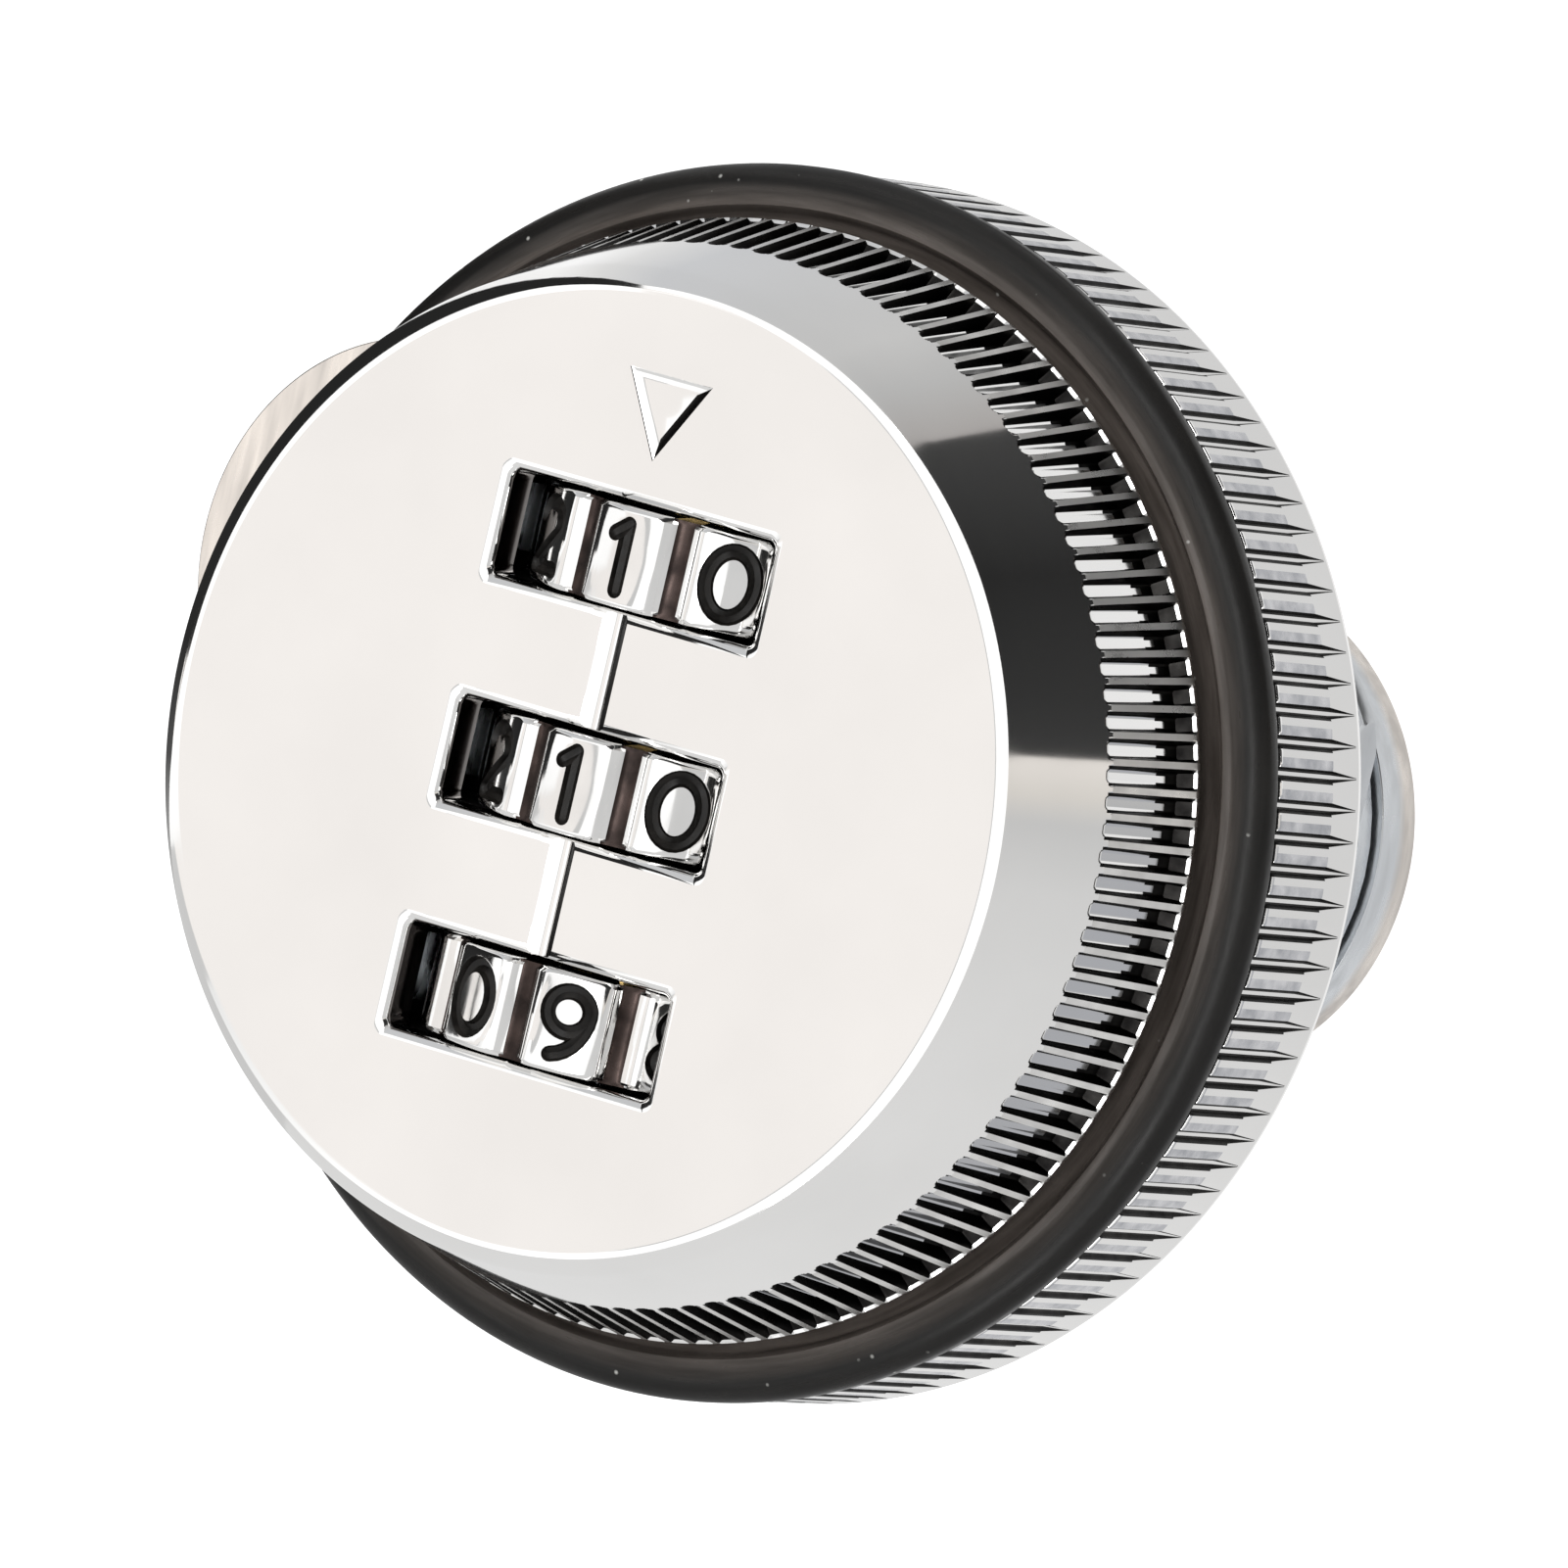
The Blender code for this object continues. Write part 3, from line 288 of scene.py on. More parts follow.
card("face_card", (-180, 70, 90, FACE_TONE), (-157, 70, 90, FACE_TONE), (-140, 80, 90, FACE_TONE),
     (97, 80, 90, FACE_TONE), (105, 87, 90, FACE_TONE), (180, 87, 90, FACE_TONE))
card("left_line_card", (97, 81, 87, 1.2), (110, 76, 87, 1.2), (150, 77, 87, 1.2),
     (178, 79, 87, 1.2), (192, 70, 87, 1.2), (203, 55, 87, 1.1), distance=1.4)
card("left_dark_card", (97, 74, 81, 0.03), (103, 64, 79, 0.02), (110, 56, 76, 0.02),
     (118, 46, 76, 0.02), (130, 34, 76, 0.02), (142, 15, 77, 0.02), (150, 5, 77, 0.02),
     (178, 5, 79, 0.025), (192, 5, 70, 0.08), (203, 5, 55, 0.4), (212, 5, 40, 0.7))
card("rim_card", (-140, 68, 83, 0.9), (-100, 70, 82, 1.2), (-60, 66, 80, 1.2),
     (-25, 58, 79, 1.2), (0, 54.5, 79, 1.2), (36, 55, 79, 1.2), (60, 62, 80, 1.2),
     (97, 74, 83, 1.2))
card("rim_edge_card", (-70, 79, 81, 0.62), (70, 79, 81, 0.62), distance=1.4)
card("tube_lamp", (-48, 61, 67, 4.5), (58, 62, 67, 4.5), distance=1.3)

# %% Cards for the cone behind the face
card("lower_cone_card", (-120, 12, 70, 0.74), (-60, 12, 66, 0.76), (-25, 12, 58, 0.75),
     (-10, 12, 55.5, 0.72), (0, 12, 54.5, 0.68), (8, 12, 54.6, 0.60),
     (11, 12, 54.7, (0.72, 0.69, 0.65)), (15.3, 12, 54.7, (0.84, 0.80, 0.76)))
card("black_card", (15.3, 12, 54.7, 0.045), (22, 12, 54.8, 0.035), (36, 12, 55, 0.024),
     (54, 12, 60.2, 0.055))
card("upper_cone_card", (54, 12, 60.2, (0.43, 0.41, 0.40)), (62, 12, 62.7, 0.51),
     (70, 12, 65, 0.59), (95, 12, 73.5, (0.61, 0.62, 0.64)), (103, 12, 65, 0.75),
     (110, 12, 57, 0.97), (118, 12, 47, 0.97), (130, 12, 35, 0.97))

# %% Cards for the floors of the flutes and for the sides of the trim ring
card("lower_flute_card", (-120, 4, 12, 0.40), (0, 4, 12, (0.42, 0.43, 0.46)), (12, 4, 12, 0.5))
card("white_flute_card", (12, 4, 12, 0.80), (18, 4, 12, 0.88), (58, 4, 12, 0.85))
card("black_flute_card", (61, 4, 12, 0.02), (90, 4, 12, 0.02), (97, 4, 12, 0.35),
     (107, 4, 12, 0.60))
card("side_card", (-120, -5, 4, 0.80), (-50, -5, 4, 0.78), (0, -5, 4, 0.70), (60, -5, 4, 0.68),
     (130, -5, 4, 0.72))
card("rear_card", (-120, -70, -5, 0.92), (130, -70, -5, 0.92))

# %% [markdown]
# ## The finishes
# Each finish is a Principled shader with procedural detail from the object's own
# coordinates. Three small node groups hold the effects that several finishes
# share: the faint waves of plating, specks of dust, and slow changes of tone.
# A group gives a value from 0 to 1, and each material decides what it does with it.

# %% Helpers for shader nodes
def node_group(name, settings, make):
    """A group with number inputs and one output, whose inside a function builds."""
    group = bpy.data.node_groups.new(name, 'ShaderNodeTree')
    for label, value in settings.items():
        socket = group.interface.new_socket(label, in_out='INPUT', socket_type='NodeSocketFloat')
        socket.default_value = value
    group.interface.new_socket("Value", in_out='OUTPUT', socket_type='NodeSocketFloat')
    start = group.nodes.new("NodeGroupInput")
    end = group.nodes.new("NodeGroupOutput")
    place = group.nodes.new("ShaderNodeTexCoord")
    group.links.new(make(group, start, place.outputs["Object"]), end.inputs["Value"])
    return group


def noise(group, place, scale, detail=2.0):
    """A Noise Texture in a group; its scale comes from a number or a socket."""
    made = group.nodes.new("ShaderNodeTexNoise")
    made.inputs["Detail"].default_value = detail
    group.links.new(place, made.inputs["Vector"])
    if isinstance(scale, bpy.types.NodeSocket):
        group.links.new(scale, made.inputs["Scale"])
    else:
        made.inputs["Scale"].default_value = scale
    return made.outputs["Fac"]


def ranged(group, source, low, high, start=0.0, end=1.0):
    """A Map Range node: turns start..end into low..high."""
    made = group.nodes.new("ShaderNodeMapRange")
    made.inputs["From Min"].default_value = start
    made.inputs["From Max"].default_value = end
    made.inputs["To Min"].default_value = low
    made.inputs["To Max"].default_value = high
    group.links.new(source, made.inputs["Value"])
    return made.outputs["Result"]


def reckoned(group, operation, first, second):
    """A Math node between two sockets, or a socket and a number."""
    made = group.nodes.new("ShaderNodeMath")
    made.operation = operation
    for source, socket in ((first, made.inputs[0]), (second, made.inputs[1])):
        if isinstance(source, bpy.types.NodeSocket):
            group.links.new(source, socket)
        else:
            socket.default_value = source
    return made.outputs["Value"]


# %% Three shared effects
def make_waves(group, start, place):
    """A smooth noise of one size."""
    return noise(group, place, start.outputs["Scale"], 1.0)


def make_specks(group, start, place):
    """Small bright dots where a cell's middle is near, thinned out by a slow noise."""
    cells = group.nodes.new("ShaderNodeTexVoronoi")
    group.links.new(place, cells.inputs["Vector"])
    group.links.new(start.outputs["Scale"], cells.inputs["Scale"])
    near = ranged(group, cells.outputs["Distance"], 1.0, 0.0, start=0.03, end=0.10)
    few = ranged(group, noise(group, place, 900.0, 0.0), 0.0, 1.0, start=0.52, end=0.60)
    return reckoned(group, 'MULTIPLY', near, few)


def make_drift(group, start, place):
    """A noise of many sizes, spread over the whole range."""
    broad = noise(group, place, start.outputs["Scale"], 4.0)
    return ranged(group, broad, 0.0, 1.0, start=0.3, end=0.7)


plating_waves = node_group("plating_waves", {"Scale": 60.0}, make_waves)
dust_specks = node_group("dust_specks", {"Scale": 1400.0}, make_specks)
tone_drift = node_group("tone_drift", {"Scale": 120.0}, make_drift)
print("effects:", [group.name for group in bpy.data.node_groups])

# %% Helpers for materials
def finish(name, colour, roughness, metallic=1.0):
    """A new Principled material; gives the material, its tree and its shader."""
    made = bpy.data.materials.new(name)
    made.use_nodes = True
    shader = made.node_tree.nodes["Principled BSDF"]
    shader.inputs["Base Color"].default_value = (*colour, 1)
    shader.inputs["Roughness"].default_value = roughness
    shader.inputs["Metallic"].default_value = metallic
    return made, made.node_tree, shader


def effect(tree, group, **settings):
    """Places a shared effect in a material and gives its value."""
    made = tree.nodes.new("ShaderNodeGroup")
    made.node_tree = group
    for label, value in settings.items():
        made.inputs[label].default_value = value
    return made.outputs["Value"]


def blended(tree, factor, first, second):
    """A colour between two others; either may be a colour or a socket."""
    made = tree.nodes.new("ShaderNodeMix")
    made.data_type = 'RGBA'
    tree.links.new(factor, made.inputs["Factor"])
    for source, label in ((first, "A"), (second, "B")):
        socket = next(s for s in made.inputs if s.name == label and s.type == 'RGBA')
        if isinstance(source, bpy.types.NodeSocket):
            tree.links.new(source, socket)
        else:
            socket.default_value = (*source, 1)
    return next(s for s in made.outputs if s.type == 'RGBA')


def bumped(tree, shader, height, strength, distance):
    """Feeds a height in metres through a Bump node to the shader's normal."""
    made = tree.nodes.new("ShaderNodeBump")
    made.inputs["Strength"].default_value = strength
    made.inputs["Distance"].default_value = distance
    tree.links.new(height, made.inputs["Height"])
    tree.links.new(made.outputs["Normal"], shader.inputs["Normal"])


def drifting(tree, shader, scale, colours, roughnesses=None):
    """Lets a finish wander between two colours and two roughnesses; gives the drift."""
    drift = effect(tree, tone_drift, Scale=scale)
    tree.links.new(blended(tree, drift, *colours), shader.inputs["Base Color"])
    if roughnesses:
        tree.links.new(ranged(tree, drift, *roughnesses), shader.inputs["Roughness"])
    return drift


# %% [markdown]
# The chrome of the knob and the trim ring is nearly a mirror. Real plating on a casting is never
# quite flat: slow waves bend the reflections a little, and handling leaves a haze that makes some
# patches a touch rougher and dimmer. The crests between the flutes take the most handling, so they
# are worn to a satin. Beside the grooves of the trim ring, one half of each crest gets a duller
# chrome as painted shade, and the left walls of the windows get a dark chrome as painted shade.

# %% Polished chrome
CHROME_BRIGHT = (0.93, 0.925, 0.915)
CHROME_HAZY = (0.885, 0.88, 0.87)

chrome, tree, shader = finish("polished_chrome", CHROME_BRIGHT, 0.05)
drifting(tree, shader, 140.0, (CHROME_BRIGHT, CHROME_HAZY), (0.035, 0.09))
bumped(tree, shader, effect(tree, plating_waves, Scale=260.0), 0.25, 0.00002)
print("chrome:", CHROME_BRIGHT, "to", CHROME_HAZY)

# %% Chrome with painted shade beside the trim ring's grooves and in the windows, and chrome that fingers wear
crest_shade_chrome, tree, shader = finish("crest_shade_chrome", (0.66, 0.67, 0.70), 0.2)
drifting(tree, shader, 1500.0, ((0.80, 0.80, 0.82), (0.46, 0.47, 0.50)))
shaded_chrome = finish("shaded_chrome", (0.16, 0.15, 0.145), 0.14)[0]

worn_chrome, tree, shader = finish("worn_chrome", CHROME_HAZY, 0.35)
drifting(tree, shader, 900.0, ((0.93, 0.92, 0.90), (0.78, 0.77, 0.75)), (0.22, 0.42))
print("other chromes:", [made.name for made in (crest_shade_chrome, shaded_chrome, worn_chrome)])

# %% Chrome of the number wheels, and the black paint in their numbers
wheel_chrome, tree, shader = finish("wheel_chrome", (0.9, 0.895, 0.885), 0.06)
drifting(tree, shader, 500.0, ((0.91, 0.905, 0.895), (0.82, 0.815, 0.805)), (0.04, 0.13))
bumped(tree, shader, effect(tree, plating_waves, Scale=900.0), 0.3, 0.00001)

number_paint, tree, shader = finish("number_paint", (0.008, 0.007, 0.006), 0.4, 0.0)
shader.inputs["Specular IOR Level"].default_value = 0.25
drifting(tree, shader, 2500.0, ((0.005, 0.0045, 0.004), (0.016, 0.014, 0.012)), (0.3, 0.5))
print("wheels:", wheel_chrome.name, "and", number_paint.name)

# %% [markdown]
# The deep grooves between the pads of the number wheels get a dark, brownish and dull finish:
# painted shade. A groove also shades itself from the room, which cards can't show, so its walls get
# a finish that is darker still.

# %% Painted shade in narrow grooves
recess_plating, tree, shader = finish("recess_plating", (0.08, 0.06, 0.055), 0.3)
drifting(tree, shader, 900.0, ((0.085, 0.062, 0.056), (0.02, 0.016, 0.015)), (0.2, 0.45))

groove_shade, tree, shader = finish("groove_shade", (0.03, 0.03, 0.03), 0.35)
drifting(tree, shader, 1200.0, ((0.022, 0.021, 0.020), (0.008, 0.0075, 0.0075)), (0.25, 0.45))
print("grooves:", recess_plating.name, "and", groove_shade.name)

# %% [markdown]
# Inside the knob the casting is left without polish, dull and dark. Its colour is made nearly black
# as painted shade, which is why the gaps beside the wheels look almost black.

# %% The dull inside of the castings, with painted shade
dull_casting_shade, tree, shader = finish("dull_casting_shade", (0.02, 0.019, 0.018), 0.6, 0.2)
grain = drifting(tree, shader, 1800.0, ((0.012, 0.011, 0.010), (0.035, 0.033, 0.031)),
                 (0.5, 0.75))
bumped(tree, shader, grain, 0.4, 0.00003)
print("inside:", dull_casting_shade.name)

# %% [markdown]
# Moulded rubber is black with a dull sheen, and it holds dust. Its flat inner part is painted a
# little brown: a painted sheen, for the bright studio that this flat part mirrors. The change
# follows the distance from the axis. Faint streaks run round the ring: a noise that is stretched
# along the circle by giving it the heading and the distance in place of the point itself.

# %% Black rubber
SHEEN_RADIUS = 18.7        # where the painted sheen of the inner part ends, in mm
SHEEN_FADE = (-0.5, 0.6)      # mm from there, between which brown turns to black
STREAKS_ACROSS = 3500.0     # how fine the streaks are from ring to ring, per metre
STREAKS_ALONG = (5, 5, 5)   # how fine they are along a ring

rubber, tree, shader = finish("black_rubber", (0.03, 0.028, 0.026), 0.5, 0.0)
shader.inputs["Specular IOR Level"].default_value = 0.22
place = tree.nodes.new("ShaderNodeTexCoord")
flatten = tree.nodes.new("ShaderNodeMapping")
flatten.inputs["Scale"].default_value = (1, 0, 1)
length = tree.nodes.new("ShaderNodeVectorMath")
length.operation = 'LENGTH'
tree.links.new(place.outputs["Object"], flatten.inputs["Vector"])
tree.links.new(flatten.outputs["Vector"], length.inputs[0])
# painted sheen: brown on the flat inner part, black further out
sheen_share = ranged(tree, length.outputs["Value"], 1.0, 0.0,
                (SHEEN_RADIUS + SHEEN_FADE[0]) * MM, (SHEEN_RADIUS + SHEEN_FADE[1]) * MM)
heading = tree.nodes.new("ShaderNodeVectorMath")
heading.operation = 'NORMALIZE'
rings = tree.nodes.new("ShaderNodeCombineXYZ")
ring_place = tree.nodes.new("ShaderNodeVectorMath")
ring_place.operation = 'MULTIPLY_ADD'
ring_place.inputs[1].default_value = STREAKS_ALONG
tree.links.new(flatten.outputs["Vector"], heading.inputs[0])
tree.links.new(reckoned(tree, 'MULTIPLY', length.outputs["Value"], STREAKS_ACROSS),
               rings.inputs["Y"])
tree.links.new(heading.outputs["Vector"], ring_place.inputs[0])
tree.links.new(rings.outputs["Vector"], ring_place.inputs[2])
streaks = ranged(tree, noise(tree, ring_place.outputs["Vector"], 1.0, 3.0), 0.0, 1.0, 0.35, 0.65)
black = blended(tree, streaks, (0.009, 0.0085, 0.008), (0.016, 0.015, 0.014))
brown = blended(tree, streaks, (0.080, 0.067, 0.058), (0.150, 0.128, 0.114))
base = blended(tree, sheen_share, black, brown)
specks = effect(tree, dust_specks, Scale=1100.0)
tree.links.new(blended(tree, specks, base, (0.6, 0.6, 0.57)), shader.inputs["Base Color"])
tree.links.new(ranged(tree, streaks, 0.40, 0.26), shader.inputs["Roughness"])
bumped(tree, shader, effect(tree, plating_waves, Scale=2600.0), 0.4, 0.00002)
print("rubber: brown up to", SHEEN_RADIUS, "mm from the axis")

# %% [markdown]
# The barrel and its nut are zinc castings with a bright, slightly milky plating.
# The cam and washers are steel sheet. Their zinc plating is bluish on the flats and turns
# straw-coloured where the passivation builds up, near the rear edge. Towards the cam's tip the same
# straw colour is a painted warm reflection.

# %% Zinc castings
zinc, tree, shader = finish("zinc_casting", (0.75, 0.77, 0.79), 0.32)
drifting(tree, shader, 300.0, ((0.83, 0.85, 0.87), (0.66, 0.68, 0.70)), (0.24, 0.42))
bumped(tree, shader, effect(tree, plating_waves, Scale=1500.0), 0.3, 0.00003)
print("castings:", zinc.name)

# %% Plated steel sheet
ROLLING = radians(35)       # direction of the rolling marks in the sheet
TIP_REFLECTION = (-0.030, -0.018)        # painted warm reflection towards the cam's tip, in metres, from straw to silver
STRAW_REAR = (0.0217, 0.0222)       # its rear edge, from silver to straw

steel, tree, shader = finish("plated_steel", (0.80, 0.79, 0.77), 0.2)
place = tree.nodes.new("ShaderNodeTexCoord")
slant = tree.nodes.new("ShaderNodeMapping")
slant.inputs["Rotation"].default_value = (0, ROLLING, 0)
slant.inputs["Scale"].default_value = (1.0, 1.0, 0.12)
tree.links.new(place.outputs["Object"], slant.inputs["Vector"])
rolled = ranged(tree, noise(tree, slant.outputs["Vector"], 1500.0, 3.0), 0.0, 1.0, 0.35, 0.65)
parts = tree.nodes.new("ShaderNodeSeparateXYZ")
tree.links.new(place.outputs["Object"], parts.inputs["Vector"])
# towards the tip a painted warm reflection, towards the rear edge straw passivation
tip_reflection = ranged(tree, parts.outputs["X"], 0.9, 0.0, *TIP_REFLECTION)
towards_rear = ranged(tree, parts.outputs["Y"], 0.0, 0.9, *STRAW_REAR)
straw_and_reflection = reckoned(tree, 'MAXIMUM', tip_reflection, towards_rear)
silver = blended(tree, rolled, (0.80, 0.83, 0.86), (0.72, 0.74, 0.76))
straw = blended(tree, rolled, (0.93, 0.86, 0.79), (0.70, 0.65, 0.60))
tree.links.new(blended(tree, straw_and_reflection, silver, straw), shader.inputs["Base Color"])
tree.links.new(ranged(tree, rolled, 0.22, 0.38), shader.inputs["Roughness"])
bumped(tree, shader, rolled, 0.2, 0.00001)
print("sheet:", steel.name)

# %% Machined brass
brass, tree, shader = finish("machined_brass", (0.72, 0.55, 0.26), 0.22)
drifting(tree, shader, 350.0, ((0.78, 0.61, 0.30), (0.55, 0.40, 0.18)), (0.15, 0.38))
print("finishes:", [material.name for material in bpy.data.materials])

# %% [markdown]
# ## Turned pieces
# Almost everything on this lock is turned, as on a lathe. We begin each such
# piece with a ring of points, then extrude the ring along the axis and resize
# it, station by station. The outline of a piece is then just a list of radii
# and places, the way a turner would read it from a drawing.

# %% A lathe made of extrude and resize
TURN_ABOUT = {'Y': (radians(90), 0, 0), 'Z': (0, 0, 0)}
SAME_PLACE = 0.0005 * MM    # points closer than this are one point


def close_up():
    """Turns the faces of an open piece outwards and leaves edit mode."""
    bpy.ops.mesh.select_all(action='SELECT')
    bpy.ops.mesh.normals_make_consistent(inside=False)
    bpy.ops.object.mode_set(mode='OBJECT')


def turned(name, outline, sides, axis='Y', hollow=False):
    """Extrudes a ring along an outline of (radius, place on the axis), in mm."""
    across = [axis != letter for letter in "XYZ"]
    along = Vector([not flag for flag in across])
    radius, place = outline[0]
    fresh()
    bpy.ops.mesh.primitive_circle_add(vertices=sides, radius=radius * MM, fill_type='NOTHING',
                                      location=along * place * MM, rotation=TURN_ABOUT[axis])
    piece = bpy.context.object
    piece.name = name
    bpy.ops.object.transform_apply(location=True, rotation=True, scale=True)
    bpy.ops.object.mode_set(mode='EDIT')
    bpy.ops.mesh.select_mode(type='EDGE')
    bpy.ops.mesh.select_all(action='SELECT')
    if not hollow:
        bpy.ops.mesh.edge_face_add()
        bpy.ops.mesh.select_mode(type='EDGE')
    stations = outline[1:] + outline[:1] if hollow else outline[1:]
    for wider, further in stations:
        bpy.ops.mesh.extrude_region_move(
            TRANSFORM_OT_translate={"value": along * (further - place) * MM})
        grow = wider / radius
        bpy.ops.transform.resize(value=[grow if flag else 1 for flag in across],
                                 center_override=along * further * MM)
        radius, place = wider, further
    bpy.ops.mesh.select_all(action='SELECT')
    bpy.ops.mesh.remove_doubles(threshold=SAME_PLACE)
    close_up()
    return piece


def quarter_turn(steps, first=1):
    """The sine and cosine at each step of a quarter of a circle."""
    swings = [radians(90 * step / steps) for step in range(first, steps + 1)]
    return [(sin(swing), cos(swing)) for swing in swings]


def polish(piece, angle=35):
    """Smooth shading that keeps edges sharper than an angle."""
    pick(piece)
    bpy.ops.object.shade_smooth_by_angle(angle=radians(angle))


# %% A way to move points of one piece towards or away from the axis
def press_in(piece, factor_of, axis='Y'):
    """Resizes groups of points about the axis; a rule gives each point's factor."""
    across = [axis != letter for letter in "XYZ"]
    groups = {}
    for point in piece.data.vertices:
        factor = round(factor_of(point.co), 4)
        if factor != 1:
            groups.setdefault(factor, []).append(point.index)
    edit(piece)
    bpy.ops.mesh.select_mode(type='VERT')
    for factor, members in groups.items():
        bpy.ops.mesh.select_all(action='DESELECT')
        mesh = bmesh.from_edit_mesh(piece.data)
        mesh.verts.ensure_lookup_table()
        for index in members:
            mesh.verts[index].select = True
        mesh.select_flush_mode()
        bpy.ops.transform.resize(value=[factor if flag else 1 for flag in across],
                                 center_override=(0, 0, 0))
    bpy.ops.object.mode_set(mode='OBJECT')
    return len(groups)


# %% [markdown]
# ## The knob
# The knob is a zinc casting under polished chrome. Its face has a small round
# rim, then a smooth cone, then a band of flutes for the fingers. We turn the
# whole outline first and press the flutes in afterwards.

# %% The knob's outline
CONE_START = 15.94          # radius of the cone, carried on to the plane of the face
CONE_LEAN = radians(14.8)
RIM = 0.92                  # rounding between the face and the cone
RIM_STEPS = 10
KNOB_LENGTH = (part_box("knob_shell")[1].y - face_y) / MM
CAVITY_RADIUS = 13.2
FACE_PLATE = 1.4
BEFORE_FLUTES = 0.15        # a ring of points this far ahead keeps the cone smooth
FLUTE_START = 4.05
FLUTE_RUN_IN = 0.42
RUN_IN_SHARES = (0, 0.03, 0.12, 0.27, 0.5, 0.75, 1)
FLUTE_SHADOW = 6.7          # where the painted shade at the rear of a flute starts
FLUTE_END = 7.70
FLUTE_RUN_OUT = 0.26
FLUTE_LIP = 0.82            # share of the end wall that lies in shade
SHADE_END = FLUTE_END + FLUTE_RUN_OUT * FLUTE_LIP
FLUTE_TAPER = 0.45          # how much further light reaches along the middle
KNOB_CHAMFER = 0.42
CHAMFER_STEPS = 4
KNOB_FLUTES = 125
POINTS_PER_FLUTE = 16


def at(depth):
    """The place on the Y axis, in mm, of a depth behind the face."""
    return face_y / MM + depth


def cone_radius(depth):
    return CONE_START + tan(CONE_LEAN) * depth


outline = []
rim_centre = CONE_START - RIM * (1 - sin(CONE_LEAN)) / cos(CONE_LEAN)
for step in range(RIM_STEPS + 1):
    swing = (radians(90) - CONE_LEAN) * step / RIM_STEPS
    outline.append((rim_centre + RIM * sin(swing), at(RIM * (1 - cos(swing)))))
depths = [RIM, FLUTE_START - BEFORE_FLUTES]
depths += [FLUTE_START + FLUTE_RUN_IN * share for share in RUN_IN_SHARES]
depths += [FLUTE_SHADOW, FLUTE_SHADOW + FLUTE_TAPER, FLUTE_END, SHADE_END,
           FLUTE_END + FLUTE_RUN_OUT]
outline += [(cone_radius(depth), at(depth)) for depth in depths]
crest_end = cone_radius(KNOB_LENGTH - KNOB_CHAMFER)
outline += [(crest_end - KNOB_CHAMFER * (1 - run), at(KNOB_LENGTH - KNOB_CHAMFER * (1 - rise)))
            for rise, run in quarter_turn(CHAMFER_STEPS)]
outline += [(CAVITY_RADIUS, at(KNOB_LENGTH)), (CAVITY_RADIUS, at(FACE_PLATE))]
knob = turned("knob_polished", outline, KNOB_FLUTES * POINTS_PER_FLUTE)
print("knob turned:", len(knob.data.polygons), "faces")

# %% [markdown]
# Each flute is a pocket with a flat floor, steep sides and a round front end. Its
# floor leans a little less than the cone, so it gets deeper towards the rear,
# where a short wall closes it. The floor and that wall face other parts of the
# studio than the cone does, and this is what makes the flutes sparkle.

# %% Press the flutes into the knob
FLUTE_DEPTH = 0.20          # where the flute starts
FLOOR_LEAN = radians(9.5)
CREST_SHARE = 0.25          # of half a flute's pitch
FLAT_SHARE = 0.6            # of the width of a flute
SKIN = 0.3                  # points deeper than this under the cone aren't on it
LEAST_SINK = 0.001          # share of a flute's depth below which it has run out


def pocket(share):
    """Depth of a flute from 1 on its flat floor to 0 at its edge."""
    rise = min(1, max(0, (1 - share) / (1 - FLAT_SHARE)))
    return rise * rise * (3 - 2 * rise)


def share_of_pitch(x, z, count):
    """How far a point is from the middle of its crest: 0, up to 1 in mid-flute."""
    turn = (atan2(z, x) - pi / 2) / (2 * pi) * count
    return 2 * abs(turn - round(turn))


def knob_flute(point):
    """The factor that puts a point of the cone on the floor or the side of its flute."""
    depth = point.y / MM - at(0)
    radius = hypot(point.x, point.z) / MM
    if depth <= FLUTE_START or radius < cone_radius(FLUTE_START) - SKIN:
        return 1
    run_in = min(1, (depth - FLUTE_START) / FLUTE_RUN_IN)
    run_out = min(1, (FLUTE_END + FLUTE_RUN_OUT - depth) / FLUTE_RUN_OUT)
    width = sqrt(1 - (1 - run_in) ** 2)
    from_middle = (1 - share_of_pitch(point.x, point.z, KNOB_FLUTES)) / (1 - CREST_SHARE)
    if from_middle >= width or run_out < LEAST_SINK:
        return 1
    floor = cone_radius(FLUTE_START) - FLUTE_DEPTH + tan(FLOOR_LEAN) * (depth - FLUTE_START)
    sink = (cone_radius(depth) - floor) * width * run_out * pocket(from_middle / width)
    return (cone_radius(depth) - sink) / radius


print("groups of points pressed in:", press_in(knob, knob_flute))

# %% [markdown]
# The face plate has three windows, an engraved line that joins them, and a
# triangle that points down at the numbers. Each is cut with a Boolean. The
# cutters flare at their mouths like a trumpet, so the cut edges come out round,
# as they do under thick plating. The windows are cut first and the marks second,
# because cutters that touch each other are best kept apart.

# %% Helpers for cutting
def select_by(piece, wanted, kind='FACE'):
    """In edit mode: selects the points, edges or faces that a test picks."""
    bpy.ops.mesh.select_mode(type=kind)
    bpy.ops.mesh.select_all(action='DESELECT')
    mesh = bmesh.from_edit_mesh(piece.data)
    parts = {'VERT': mesh.verts, 'EDGE': mesh.edges, 'FACE': mesh.faces}[kind]
    for part in parts:
        if wanted(part):
            part.select_set(True)
    mesh.select_flush_mode()
    bmesh.update_edit_mesh(piece.data)


def settle(piece, x=0, y=0, z=0, turn=0):
    """Moves and turns a finished mesh in mm, and leaves its object at the origin."""
    pick(piece)
    piece.rotation_euler.z = turn
    piece.location = (x * MM, y * MM, z * MM)
    bpy.ops.object.transform_apply(location=True, rotation=True, scale=True)
    return piece


def joined(name, pieces):
    """Joins objects into one and names it."""
    pick(pieces[0])
    for piece in pieces:
        piece.select_set(True)
    bpy.ops.object.join()
    pieces[0].name = name
    return pieces[0]


